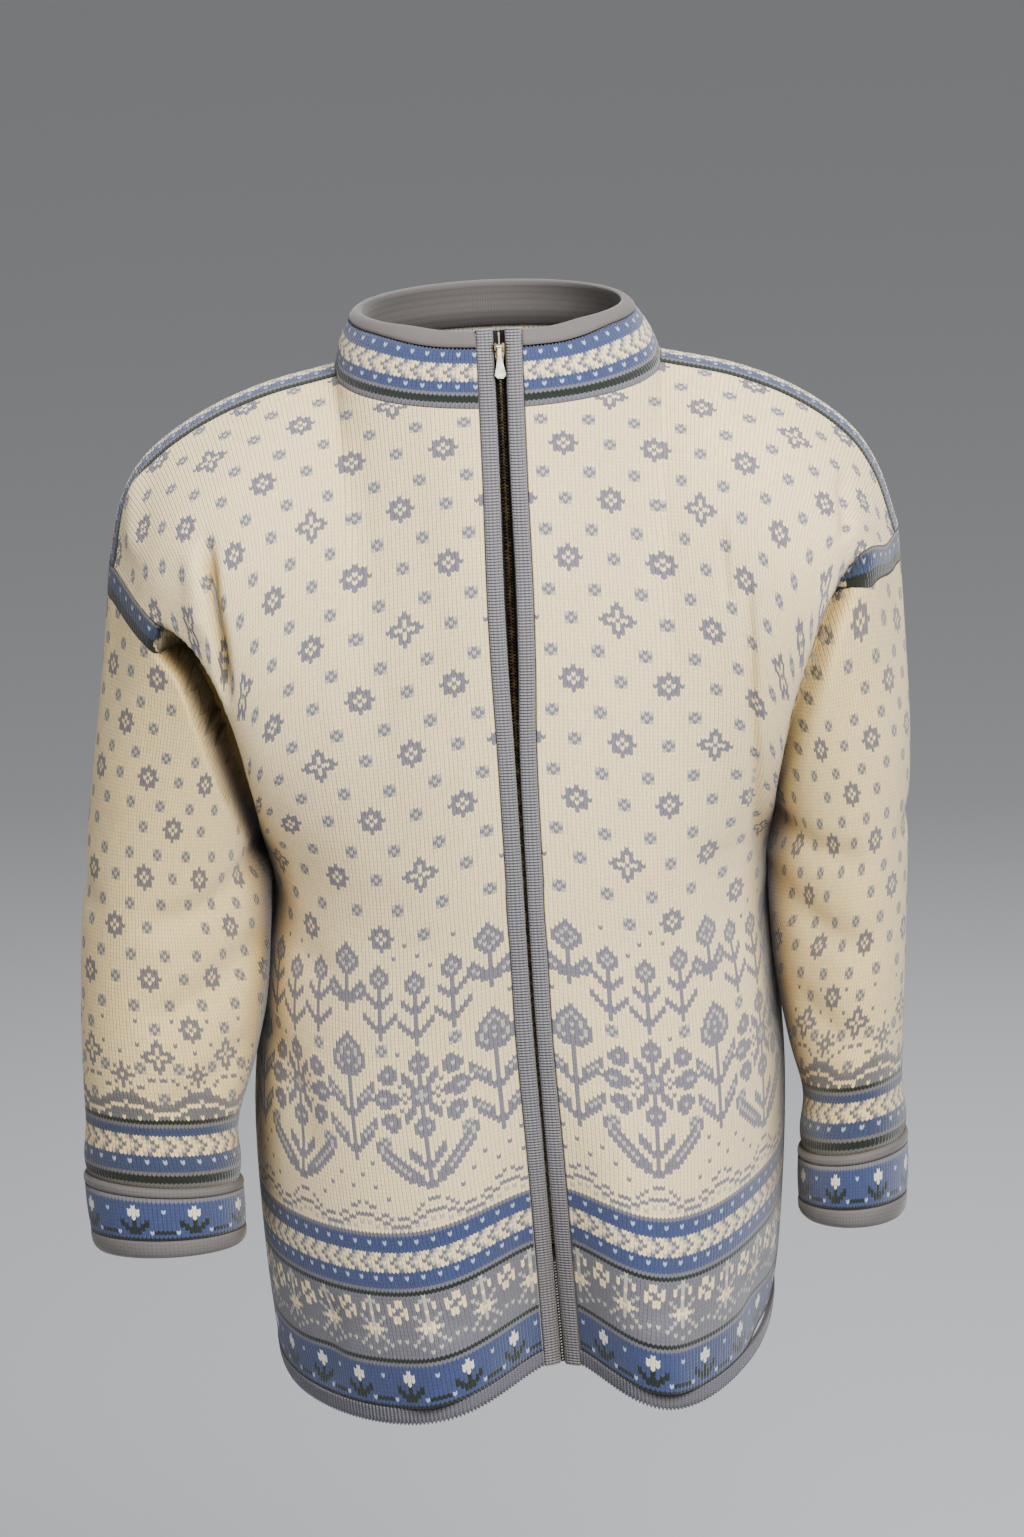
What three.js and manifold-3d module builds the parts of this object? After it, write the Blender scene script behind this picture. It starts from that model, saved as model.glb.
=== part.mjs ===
// A zip-up knitted cardigan, hollow and in the pose it is worn in.
// Millimetres, +Z up. The origin is the middle of the neck base, between the two high points of the
// shoulders. The front faces -Y. "right" and "left" are the wearer's, so right is at -X.
import * as THREE from 'three';
import { mergeVertices } from 'three/addons/utils/BufferGeometryUtils.js';
import Module from 'manifold-3d';

const wasm = await Module();
wasm.setup();

// ---- driving sizes ----
const WALL = 2.4; // thickness of the knitted cloth
const SEAM = 0.3; // gap left between two pieces at a seam
const VALLEY_REACH = { right: 46, left: 37 }; // half width of the dip beside the zip
const UNDERARM = -318; // height of the underarm points
const HEM_RIB = 11; // depth of the ribbed hem edging
const PLACKET = { width: 11, thick: 4.4, crown: 1.1 };
const TAPE = { thick: 0.9, reach: 9, behind: 0.4, split: 0.5 };
const NECK = { half: 105, frontY: -88, backY: 62, frontZ: -16, sideZ: -4, backZ: 6 };
const COLLAR = { half: 89, middleX: -3, middleY: -12, depth: 62, middleZ: 36, rise: 5, bulge: 2.5, band: 0.74 };
const CORNER_EASE = 0.12; // how far along the top edge the corner at the neck is eased
const STRIP = { frontY: -20, backY: 22, crown: 4 };
const CUFF = { top: 0.893, trim: 0.914, foldStart: 0.972, sleeveEnd: 0.985, swell: 5.2, thick: 2.6 };
const SLIDER = { z: 18, topWidth: 6.4, endWidth: 4.6, height: 11, front: 0.3, back: 3.9 };
const EAR = { near: 1.95, far: 3.1, foot: 0.8, head: 5.6, reach: 3.7 };
const PIVOT = { forward: 2.4, up: 3.2, pin: 0.55, hole: 0.88, knuckle: 1.1, half: 1.6 };
const PULL = { length: 20, topWidth: 2.4, endWidth: 7, thick: 1.5 };

// How many faces each piece is divided into.
const GRID = { panel: 10, lower: 10, upper: 9, strip: 2, neck: 4, sleeve: 13 };

// ---- tables: a row for each section ----
// Level rings of the body: half widths on the wearer's right and left, the middle of the ring, its depth in
// front and behind, how square its corners are, where the zip runs, and how far the zip line falls back
// between the two lobes of the front.
const BODY = [
  { z: -680, right: 175, left: 153, mid: 12, front: 188, back: 128, square: 0.04, zip: 15, valley: 68 },
  { z: -600, right: 182, left: 164, mid: 13, front: 182, back: 130, square: 0.03, zip: 12, valley: 56 },
  { z: -500, right: 184, left: 171, mid: 15, front: 166, back: 132, square: 0.02, zip: 8, valley: 24 },
  { z: -420, right: 175, left: 169, mid: 16, front: 152, back: 134, square: 0.01, zip: 4, valley: 6 },
  { z: -365, right: 166, left: 164, mid: 17, front: 148, back: 137, square: 0, zip: 3, valley: 0 },
  { z: -336, right: 165, left: 165, mid: 18, front: 149, back: 139, square: 0, zip: 2, valley: 0 },
  { z: -318, right: 169, left: 169, mid: 18, front: 149, back: 140, square: 0, zip: 2, valley: 0 },
];
// Height of the lower edge, by share of the way from the zip or the middle of the back to the side seam.
const HEM = [
  { share: 0, right: -650, left: -650, back: -668 },
  { share: 0.3, right: -671, left: -669, back: -668 },
  { share: 0.65, right: -674, left: -660, back: -667 },
  { share: 1, right: -672, left: -650, back: -664 },
];
// Where the zip runs, and how far apart the two front bindings stand over it.
const ZIP = [
  { z: -680, x: 15, gap: 3 },
  { z: -600, x: 12, gap: 2.2 },
  { z: -500, x: 8, gap: 2 },
  { z: -400, x: 4, gap: 2.2 },
  { z: -300, x: 2, gap: 2.4 },
  { z: -230, x: 1, gap: 3.4 },
  { z: -180, x: 1, gap: 6.4 },
  { z: -130, x: 1, gap: 7.8 },
  { z: -60, x: 1, gap: 6.8 },
  { z: 36, x: 1, gap: 7.6 },
];
// The ridge of the shoulder, from the neck to the end of the dropped shoulder, and how much further out it is
// on the wearer's right.
const SHOULDER = [
  { x: 105, z: 0, wide: 0 },
  { x: 154, z: -12, wide: 0 },
  { x: 194, z: -30, wide: 2 },
  { x: 226, z: -55, wide: 5 },
  { x: 243, z: -82, wide: 5 },
  { x: 255, z: -122, wide: 3 },
];
// The armhole seam, from the underarm up to the shoulder strip.
const ARMHOLE = {
  front: [
    { x: 169, y: 18, z: -318 },
    { x: 169, y: -24, z: -301 },
    { x: 173, y: -64, z: -266 },
    { x: 184, y: -89, z: -214 },
    { x: 202, y: -92, z: -170 },
    { x: 233, y: -66, z: -143 },
  ],
  back: [
    { x: 169, y: 18, z: -318 },
    { x: 170, y: 52, z: -305 },
    { x: 177, y: 80, z: -272 },
    { x: 192, y: 92, z: -226 },
    { x: 219, y: 88, z: -180 },
    { x: 243, y: 62, z: -146 },
  ],
};
// Rings of the sleeves: the outer and the inner point of each ring, its middle in Y, its depth in front and
// behind, and how far it leans back, in degrees.
const SLEEVE = {
  right: [
    { share: 0, outX: 257, outZ: -123, inX: 169, inZ: -318, y: 1, front: 90, back: 90, lean: 0 },
    { share: 0.13, outX: 265, outZ: -185, inX: 174, inZ: -341, y: -3, front: 80, back: 80, lean: 0 },
    { share: 0.29, outX: 276, outZ: -255, inX: 177, inZ: -375, y: -9, front: 70, back: 68, lean: 1 },
    { share: 0.48, outX: 288, outZ: -345, inX: 181, inZ: -422, y: -17, front: 64, back: 62, lean: 3 },
    { share: 0.64, outX: 293, outZ: -415, inX: 186, inZ: -463, y: -26, front: 59, back: 57, lean: 5 },
    { share: 0.78, outX: 294, outZ: -476, inX: 194, inZ: -500, y: -35, front: 52, back: 51, lean: 7 },
    { share: 0.89, outX: 292, outZ: -525, inX: 197, inZ: -534, y: -42, front: 47, back: 46, lean: 7 },
    { share: 1, outX: 288, outZ: -576, inX: 197, inZ: -576, y: -48, front: 46, back: 45, lean: 7 },
  ],
  left: [
    { share: 0, outX: 254, outZ: -123, inX: 169, inZ: -318, y: 1, front: 90, back: 90, lean: 0 },
    { share: 0.13, outX: 257, outZ: -185, inX: 173, inZ: -341, y: -2, front: 82, back: 82, lean: 0 },
    { share: 0.29, outX: 259, outZ: -255, inX: 174, inZ: -375, y: -6, front: 76, back: 74, lean: 1 },
    { share: 0.48, outX: 255, outZ: -340, inX: 176, inZ: -422, y: -12, front: 72, back: 70, lean: 3 },
    { share: 0.64, outX: 251, outZ: -412, inX: 177, inZ: -466, y: -20, front: 68, back: 66, lean: 5 },
    { share: 0.78, outX: 247, outZ: -472, inX: 181, inZ: -497, y: -28, front: 61, back: 59, lean: 7 },
    { share: 0.89, outX: 244, outZ: -522, inX: 181, inZ: -532, y: -35, front: 55, back: 54, lean: 7 },
    { share: 1, outX: 241, outZ: -576, inX: 180, inZ: -577, y: -41, front: 54, back: 52, lean: 7 },
  ],
};

// ---- small maths ----
const mix = (a, b, t) => a + (b - a) * t;
const clamp01 = (t) => Math.min(1, Math.max(0, t));
const ease = (from, to, x) => {
  const t = clamp01((x - from) / (to - from));
  return t * t * (3 - 2 * t);
};
const steps = (count, last = 1) => Array.from({ length: count + 1 }, (_, i) => (i / count) * last);

// A smooth curve through one column of a table.
function read(rows, key, column, at) {
  let i = rows.findIndex((row) => row[key] > at) - 1;
  if (i === -2) i = rows.length - 2;
  if (i < 0) i = 0;
  const slope = (k) => {
    const a = rows[Math.max(0, k - 1)];
    const b = rows[Math.min(rows.length - 1, k + 1)];
    return (b[column] - a[column]) / (b[key] - a[key]);
  };
  const span = rows[i + 1][key] - rows[i][key];
  const t = clamp01((at - rows[i][key]) / span);
  return hermite(rows[i][column], rows[i + 1][column], slope(i) * span, slope(i + 1) * span, t);
}

function hermite(start, end, startSlope, endSlope, t) {
  const t2 = t * t;
  const t3 = t2 * t;
  return (2 * t3 - 3 * t2 + 1) * start + (t3 - 2 * t2 + t) * startSlope
    + (3 * t2 - 2 * t3) * end + (t3 - t2) * endSlope;
}

// Adds to each point of a path its share of the path's length.
function measured(points) {
  let length = 0;
  const rows = points.map((p, i) => {
    const from = points[Math.max(0, i - 1)];
    length += Math.hypot(p.x - from.x, (p.y ?? 0) - (from.y ?? 0), p.z - from.z);
    return { ...p, along: length };
  });
  return rows.map((row) => ({ ...row, along: row.along / length }));
}

// ---- the form of the garment ----
const SHOULDER_PATH = measured(SHOULDER);

// A point on the shoulder ridge, dropped square to the ridge by "drop".
function shoulderPoint(side, along, drop) {
  const wide = side < 0 ? read(SHOULDER_PATH, 'along', 'wide', along) : 0;
  const x = read(SHOULDER_PATH, 'along', 'x', along) + wide;
  const z = read(SHOULDER_PATH, 'along', 'z', along);
  const reach = 0.02;
  const dx = read(SHOULDER_PATH, 'along', 'x', Math.min(1, along + reach))
    - read(SHOULDER_PATH, 'along', 'x', Math.max(0, along - reach));
  const dz = read(SHOULDER_PATH, 'along', 'z', Math.min(1, along + reach))
    - read(SHOULDER_PATH, 'along', 'z', Math.max(0, along - reach));
  const length = Math.hypot(dx, dz);
  return { x: x + (drop * dz) / length, z: z - (drop * dx) / length };
}

// A point of the shoulder strip: "across" runs from its front edge, 0, to its back edge, 1.
function stripPoint(side, along, across) {
  const ridge = shoulderPoint(side, along, STRIP.crown * (2 * across - 1) ** 2);
  return new THREE.Vector3(side * ridge.x, mix(STRIP.frontY, STRIP.backY, across), ridge.z);
}

// The armhole seam of the front or the back, with its upper end on the corner of the strip.
const ARMHOLE_PATH = new Map();
for (const face of ['front', 'back']) {
  for (const side of [-1, 1]) {
    const { x, y, z } = stripPoint(side, 1, face === 'front' ? 0 : 1);
    ARMHOLE_PATH.set(`${face} ${side}`, measured([...ARMHOLE[face], { x: Math.abs(x), y, z }]));
  }
}

function armholePoint(face, side, up) {
  const path = ARMHOLE_PATH.get(`${face} ${side}`);
  const [x, y, z] = ['x', 'y', 'z'].map((column) => read(path, 'along', column, up));
  return new THREE.Vector3(side * x, y, z);
}

const bindingEdge = (z) => read(ZIP, 'z', 'gap', z) / 2 + PLACKET.width;
const bindingAngle = (side, z, half) => Math.asin((bindingEdge(z) + side * read(ZIP, 'z', 'x', z)) / half);

// A point on a level ring of the body. "share" runs from the front binding, or from the middle of the back,
// to the side seam.
function ringPoint(face, side, share, z) {
  const half = read(BODY, 'z', side < 0 ? 'right' : 'left', z);
  const zip = read(BODY, 'z', 'zip', z);
  const square = read(BODY, 'z', 'square', z);
  const mid = read(BODY, 'z', 'mid', z);
  const depth = read(BODY, 'z', face, z);
  const centre = face === 'front' ? zip : 0;
  const reach = half - side * centre;
  const start = face === 'front' ? Math.asin(bindingEdge(z) / reach) : 0;
  const angle = mix(start, Math.PI / 2, share);
  const swell = 1 + square * Math.sin(2 * angle) ** 2;
  const x = reach * Math.sin(angle) * swell;
  if (face === 'back') return new THREE.Vector3(side * x, mid + depth * Math.cos(angle) * swell, z);
  const dip = VALLEY_REACH[side < 0 ? 'right' : 'left'];
  const fall = read(BODY, 'z', 'valley', z) * Math.exp(-((x / dip) ** 2));
  return new THREE.Vector3(centre + side * x, mid - depth * Math.cos(angle) * swell + fall, z);
}

// The top edge of the front or the back: the neckline up to share "neck", then the shoulder.
const NECK_SHARE = { front: GRID.neck / GRID.panel, back: GRID.neck / GRID.panel };
function topPoint(face, side, share) {
  const neck = NECK_SHARE[face];
  if (share > neck) return stripPoint(side, (share - neck) / (1 - neck), face === 'front' ? 0 : 1);
  const start = face === 'front' ? bindingAngle(side, NECK.frontZ, NECK.half) : 0;
  const angle = mix(start, Math.PI / 2, share / neck);
  const corner = stripPoint(1, 0, face === 'front' ? 0 : 1);
  const lift = Math.cos(angle);
  const edgeY = face === 'front' ? NECK.frontY : NECK.backY;
  const edgeZ = face === 'front' ? NECK.frontZ : NECK.backZ;
  const x = side * corner.x * Math.sin(angle);
  return new THREE.Vector3(x, mix(corner.y, edgeY, lift), mix(corner.z, edgeZ, lift));
}

// The top edge with its corner at the neck eased, which the cloth follows a little way below it.
function easedTop(face, side, share) {
  const reach = Math.min(CORNER_EASE, share, 1 - share);
  const sum = new THREE.Vector3();
  for (const step of [-1, -0.5, 0, 0.5, 1]) sum.add(topPoint(face, side, share + step * reach));
  return sum.multiplyScalar(1 / 5);
}

// The part of a panel above the underarm: "up" runs from the underarm's level to the top edge.
function yokePoint(face, side, share, up) {
  const back = face === 'front' ? 1 : -1;
  const column = (at) => {
    const start = ringPoint(face, side, at, UNDERARM);
    const end = easedTop(face, side, at);
    const length = start.distanceTo(end);
    const over = ease(0.1, 0.5, at);
    const lean = new THREE.Vector3(side * 0.1 * over, back * mix(0.3, 0.8, over), mix(0.95, 0.6, over));
    return new THREE.Vector3(
      hermite(start.x, end.x, 0, lean.x * length, up),
      hermite(start.y, end.y, 0, lean.y * length, up),
      hermite(start.z, end.z, length, lean.z * length, up));
  };
  const point = column(share);
  const corner = topPoint(face, side, share).sub(easedTop(face, side, share));
  point.addScaledVector(corner, up ** 3);
  const edge = armholePoint(face, side, up).sub(column(1));
  point.addScaledVector(edge, ease(0.25, 1, share));
  if (face === 'front') {
    const first = column(0);
    const wanted = read(ZIP, 'z', 'x', first.z) + side * bindingEdge(first.z);
    point.x += (wanted - first.x) * (1 - ease(0, 0.4, share));
  }
  return point;
}

function sleevePoint(side, around, share, swell = 0) {
  const rows = SLEEVE[side < 0 ? 'right' : 'left'];
  const value = (column) => read(rows, 'share', column, share);
  const angle = 2 * Math.PI * around;
  const across = new THREE.Vector2(value('inX') - value('outX'), value('inZ') - value('outZ'));
  const half = across.multiplyScalar(0.5);
  const grow = 1 + swell / half.length();
  const depth = Math.sin(angle) > 0 ? value('front') : value('back');
  const dy = -(depth + swell) * Math.sin(angle);
  const x = value('outX') + half.x - half.x * grow * Math.cos(angle);
  const slope = Math.tan(THREE.MathUtils.degToRad(value('lean')));
  const z = value('outZ') + half.y - half.y * grow * Math.cos(angle) - dy * slope;
  return new THREE.Vector3(side * x, value('y') + dy, z);
}

// ---- grids of points on the outer face of each piece ----
const SEAM_STEPS = GRID.upper * 2 + GRID.strip;

// The armhole seam all round, from the middle of the strip forwards: the panels' and strip's own points.
function armholeRing(side) {
  const front = steps(GRID.upper).map((up) => armholePoint('front', side, 1 - up));
  const back = steps(GRID.upper).map((up) => armholePoint('back', side, up));
  return [stripPoint(side, 1, 0.5), ...front, ...back.slice(1)];
}

function sleeveGrid(side) {
  const seam = armholeRing(side);
  const last = CUFF.sleeveEnd;
  return steps(GRID.sleeve).map((share) => seam.map((point, i) => {
    const around = i / SEAM_STEPS;
    const ring = sleevePoint(side, around, share * last);
    const away = point.clone().sub(sleevePoint(side, around, 0));
    return ring.addScaledVector(away, 1 - ease(0, 0.3, share));
  }));
}

// The foot of a panel; at the side seam the back comes to the front's height.
function footZ(face, side, share) {
  const front = side < 0 ? 'right' : 'left';
  if (face === 'front') return read(HEM, 'share', front, share);
  const step = read(HEM, 'share', front, 1) - read(HEM, 'share', 'back', 1);
  return read(HEM, 'share', 'back', share) + step * ease(0.3, 1, share);
}

function panelRow(face, side, share, row) {
  if (row > GRID.lower) return yokePoint(face, side, share, (row - GRID.lower) / GRID.upper);
  const foot = footZ(face, side, share);
  const z = mix(foot + HEM_RIB, UNDERARM, row / GRID.lower);
  return ringPoint(face, side, share, z);
}

const panelRows = steps(GRID.lower + GRID.upper, GRID.lower + GRID.upper);
const panelShares = steps(GRID.panel);
const acrossBack = [
  ...[...panelShares].reverse().map((share) => [-1, share]),
  ...panelShares.slice(1).map((share) => [1, share]),
];
const panelColumn = (face, side, share) => panelRows.map((row) => panelRow(face, side, share, row));
const frontGrid = (side) => turned(panelShares.map((share) => panelColumn('front', side, share)));
const backGrid = () => turned(acrossBack.map(([side, share]) => panelColumn('back', side, share)));

function ribRows(face, side, share) {
  const foot = footZ(face, side, share);
  return [0, HEM_RIB].map((up) => ringPoint(face, side, share, foot + up));
}

function turned(columns) {
  return columns[0].map((_, j) => columns.map((column) => column[j]));
}

function stripGrid(side) {
  return steps(GRID.panel - GRID.neck)
    .map((along) => steps(GRID.strip).map((across) => stripPoint(side, along, across)));
}

// The collar: its foot is the neckline, from the right front round the back to the left front.
function collarFoot(side) {
  const front = steps(GRID.neck).map((f) => topPoint('front', side, f * NECK_SHARE.front));
  const over = steps(GRID.strip).map((f) => stripPoint(side, 0, f));
  const back = steps(GRID.neck).map((f) => topPoint('back', side, (1 - f) * NECK_SHARE.back));
  return [...front, ...over.slice(1), ...back.slice(1)];
}

function collarTop(side, count) {
  const start = bindingAngle(side, COLLAR.middleZ, COLLAR.half);
  return steps(count).map((f) => {
    const angle = mix(start, Math.PI, f);
    const x = side * COLLAR.half * Math.sin(angle) + COLLAR.middleX * ease(0, 0.3, f);
    const y = COLLAR.middleY - COLLAR.depth * Math.cos(angle);
    return new THREE.Vector3(x, y, COLLAR.middleZ - COLLAR.rise * Math.cos(angle));
  });
}

function collarPoints(height, inset = 0) {
  const half = (side) => {
    const foot = collarFoot(side);
    const top = collarTop(side, foot.length - 1);
    return foot.map((p, i) => {
      const point = p.clone().lerp(top[i], height);
      const out = new THREE.Vector3(i > 0 ? point.x : 0, point.y - COLLAR.middleY, 0).normalize();
      return point.addScaledVector(out, COLLAR.bulge * Math.sin(Math.PI * clamp01(height)) - inset);
    });
  };
  return [...half(-1), ...half(1).reverse().slice(1)];
}

// ---- solids from grids ----
const subtract = (a, b) => new THREE.Vector3().subVectors(a, b);

function cornerNormals(grid, closed) {
  const rows = grid.length;
  const columns = grid[0].length;
  return grid.map((line, i) => line.map((_, j) => {
    const before = closed ? (j + columns - 1) % columns : Math.max(0, j - 1);
    const after = closed ? (j + 1) % columns : Math.min(columns - 1, j + 1);
    const along = subtract(grid[Math.min(rows - 1, i + 1)][j], grid[Math.max(0, i - 1)][j]);
    return subtract(line[after], line[before]).normalize().cross(along.normalize()).normalize();
  }));
}

// The direction square to the cloth at a point that several pieces share: each group has an equal say.
function sharedNormal(point) {
  const sum = new THREE.Vector3();
  for (const share of Object.values(seamNormals.get(nameOf(point)))) sum.add(share.clone().normalize());
  return sum.normalize();
}

const nameOf = (p) => `${Math.round(p.x * 20)},${Math.round(p.y * 20)},${Math.round(p.z * 20)}`;
const seamNormals = new Map();

// A cloth piece: its outer points, whether it closes on itself, and which of its edges are seams.
const cloths = [];
function cloth(name, colour, grid, options) {
  const { flip = false, closed = false, seams = [], group = 'body', squareEnds = [false, false] } = options;
  const points = flip ? grid.map((line) => [...line].reverse()) : grid;
  const edges = flip ? seams.map((edge) => ({ first: 'last', last: 'first' })[edge] ?? edge) : seams;
  const normals = cornerNormals(points, closed);
  points.forEach((line, i) => line.forEach((p, j) => {
    const key = nameOf(p);
    if (!seamNormals.has(key)) seamNormals.set(key, {});
    const shares = seamNormals.get(key);
    shares[group] = (shares[group] ?? new THREE.Vector3()).add(normals[i][j]);
  }));
  const ends = flip ? [...squareEnds].reverse() : squareEnds;
  cloths.push({ name, colour, points, closed, edges, squareEnds: ends });
}

// Moves the points of a seam edge back from the seam, square to the line and to the cloth.
function easedFromSeam(points, closed, edges, normals) {
  const rows = points.length;
  const columns = points[0].length;
  const moved = points.map((line) => line.map(() => new THREE.Vector3()));
  const shift = (i, j, inward, before, after) => {
    const along = subtract(after, before).normalize();
    const across = along.cross(normals[i][j]).normalize();
    const sign = Math.sign(across.dot(subtract(inward, points[i][j]))) || 1;
    moved[i][j].addScaledVector(across, (sign * SEAM) / 2);
  };
  for (let j = 0; j < columns; j += 1) {
    const before = closed ? (j + columns - 1) % columns : Math.max(0, j - 1);
    const after = closed ? (j + 1) % columns : Math.min(columns - 1, j + 1);
    const top = points[rows - 1];
    if (edges.includes('bottom')) shift(0, j, points[1][j], points[0][before], points[0][after]);
    if (edges.includes('top')) shift(rows - 1, j, points[rows - 2][j], top[before], top[after]);
  }
  for (let i = 0; i < rows; i += 1) {
    const before = Math.max(0, i - 1);
    const after = Math.min(rows - 1, i + 1);
    const end = columns - 1;
    if (edges.includes('first')) shift(i, 0, points[i][1], points[before][0], points[after][0]);
    if (edges.includes('last')) shift(i, end, points[i][end - 1], points[before][end], points[after][end]);
  }
  return moved;
}

// A closed body between an outer and an inner grid of points.
function shell(outer, inner, closed) {
  const rows = outer.length;
  const columns = outer[0].length;
  const positions = [...outer.flat(), ...inner.flat()].flatMap((p) => [p.x, p.y, p.z]);
  const at = (layer, i, j) => layer * rows * columns + i * columns + (j % columns);
  const faces = [];
  const quad = (a, b, c, d) => faces.push(a, b, c, a, c, d);
  const last = closed ? columns : columns - 1;
  for (let i = 0; i < rows - 1; i += 1) {
    for (let j = 0; j < last; j += 1) {
      quad(at(0, i, j), at(0, i, j + 1), at(0, i + 1, j + 1), at(0, i + 1, j));
      quad(at(1, i, j), at(1, i + 1, j), at(1, i + 1, j + 1), at(1, i, j + 1));
    }
  }
  for (let j = 0; j < last; j += 1) {
    quad(at(0, 0, j), at(1, 0, j), at(1, 0, j + 1), at(0, 0, j + 1));
    quad(at(0, rows - 1, j), at(0, rows - 1, j + 1), at(1, rows - 1, j + 1), at(1, rows - 1, j));
  }
  for (let i = 0; i < rows - 1 && !closed; i += 1) {
    quad(at(0, i, 0), at(0, i + 1, 0), at(1, i + 1, 0), at(1, i, 0));
    quad(at(0, i, last), at(1, i, last), at(1, i + 1, last), at(0, i + 1, last));
  }
  const geometry = new THREE.BufferGeometry();
  geometry.setAttribute('position', new THREE.Float32BufferAttribute(positions, 3));
  geometry.setIndex(faces);
  return geometry;
}

// A closed body swept through loops of points; "outline" is the loop drawn flat, for its two ends.
function sweep(loops, outline) {
  const count = loops[0].length;
  const closed = !outline;
  const positions = loops.flat().flatMap((p) => [p.x, p.y, p.z]);
  const at = (i, j) => (i % loops.length) * count + (j % count);
  let faces = [];
  for (let i = 0; i < loops.length - (closed ? 0 : 1); i += 1) {
    for (let j = 0; j < count; j += 1) {
      faces.push([at(i, j), at(i, j + 1), at(i + 1, j + 1)], [at(i, j), at(i + 1, j + 1), at(i + 1, j)]);
    }
  }
  if (!closed) {
    const flat = outline.map(([x, y]) => new THREE.Vector2(x, y));
    const ends = THREE.ShapeUtils.triangulateShape(flat, []);
    const turn = THREE.ShapeUtils.isClockWise(flat) ? 1 : -1;
    const last = loops.length - 1;
    for (const [a, b, c] of ends) {
      const near = [at(0, a), at(0, b), at(0, c)];
      const far = [at(last, a), at(last, c), at(last, b)];
      faces.push(turn > 0 ? near : near.reverse(), turn > 0 ? far : far.reverse());
    }
  }
  const point = (k) => new THREE.Vector3().fromArray(positions, 3 * k);
  const volume = faces.reduce((sum, [a, b, c]) => sum + point(a).dot(point(b).cross(point(c))), 0);
  if (volume < 0) faces = faces.map((face) => [...face].reverse());
  const geometry = new THREE.BufferGeometry();
  geometry.setAttribute('position', new THREE.Float32BufferAttribute(positions, 3));
  geometry.setIndex(faces.flat());
  return geometry;
}

const garment = new THREE.Group();

function add(name, geometry, colour, roughness = 0.92, metalness = 0) {
  geometry.computeVertexNormals();
  const material = new THREE.MeshStandardMaterial({ color: colour, roughness, metalness });
  const mesh = new THREE.Mesh(geometry, material);
  mesh.name = name;
  garment.add(mesh);
  return mesh;
}

const COLOURS = {
  cream: 0xe6dcc2,
  blue: 0x6b86b5,
  grey: 0xa3a2ab,
  lavender: 0x9a9bab,
  taupe: 0x878077,
  tape: 0x2b2623,
  bronze: 0x6e5c42,
  bright: 0xc9c4b6,
};

// ---- the pieces ----
for (const side of [-1, 1]) {
  const name = side < 0 ? 'right' : 'left';
  const flip = side < 0;
  const squareEnds = [true, false];
  const panelSeams = ['bottom', 'top', 'last'];
  cloth(`front_${name}`, COLOURS.cream, frontGrid(side), { flip, seams: panelSeams, squareEnds });
  const rib = turned(panelShares.map((share) => ribRows('front', side, share)));
  cloth(`hem_rib_front_${name}`, COLOURS.grey, rib, { flip, seams: ['top', 'last'], squareEnds });
  const allRound = ['bottom', 'top', 'first', 'last'];
  cloth(`shoulder_strip_${name}`, COLOURS.blue, stripGrid(side), { flip: !flip, seams: allRound });
  const tube = { flip, closed: true, seams: ['bottom'], group: 'sleeve' };
  cloth(`sleeve_${name}`, COLOURS.cream, sleeveGrid(side), tube);
}
cloth('back', COLOURS.cream, backGrid(), { flip: true, seams: ['bottom', 'top', 'first', 'last'] });
const backRib = turned(acrossBack.map(([side, share]) => ribRows('back', side, share)));
cloth('hem_rib_back', COLOURS.grey, backRib, { flip: true, seams: ['top', 'first', 'last'] });
const bandHeights = steps(2, COLLAR.band);
cloth('collar_band', COLOURS.blue, bandHeights.map((height) => collarPoints(height)),
  { flip: true, seams: ['bottom', 'top'], squareEnds: [true, true] });

for (const { name, colour, points, closed, edges, squareEnds } of cloths) {
  const normals = points.map((line) => line.map(sharedNormal));
  for (const line of normals) {
    if (squareEnds[0]) line[0].setX(0).normalize();
    if (squareEnds[1]) line[line.length - 1].setX(0).normalize();
  }
  const moved = easedFromSeam(points, closed, edges, normals);
  const outer = points.map((line, i) => line.map((p, j) => p.clone().add(moved[i][j])));
  const inner = outer.map((line, i) => line.map((p, j) => p.clone().addScaledVector(normals[i][j], -WALL)));
  add(name, shell(outer, inner, closed), colour);
}

// The collar's facing: its rolled top edge, and the wall that runs down inside the band.
const FACING_SECTION = [
  [COLLAR.band, 0], [0.96, 0], [1.03, 1.2], [1.03, 4.5],
  [0.96, 5.8], [0.14, 5.8], [0.14, 4.3], [COLLAR.band, 4.3],
];
const facingRows = FACING_SECTION.map(([height, inset], i) => {
  const lift = i === 0 || i === FACING_SECTION.length - 1 ? SEAM : 0;
  return collarPoints(height, inset).map((p) => p.setZ(p.z + lift));
});
const facingOutline = FACING_SECTION.map(([height, inset]) => [height * 50, inset]);
add('collar_facing', sweep(turned(facingRows), facingOutline), COLOURS.taupe);

// The line where each binding is sewn on, from the foot of the hem to the top of the collar.
function bindingSeam(side) {
  const rib = ribRows('front', side, 0)[0];
  const panel = panelRows.map((row) => panelRow('front', side, 0, row));
  const collar = [COLLAR.band / 2, COLLAR.band, 1.02].map((height) => {
    const line = collarPoints(height);
    return line[side < 0 ? 0 : line.length - 1];
  });
  return [rib, ...panel, ...collar];
}

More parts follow.
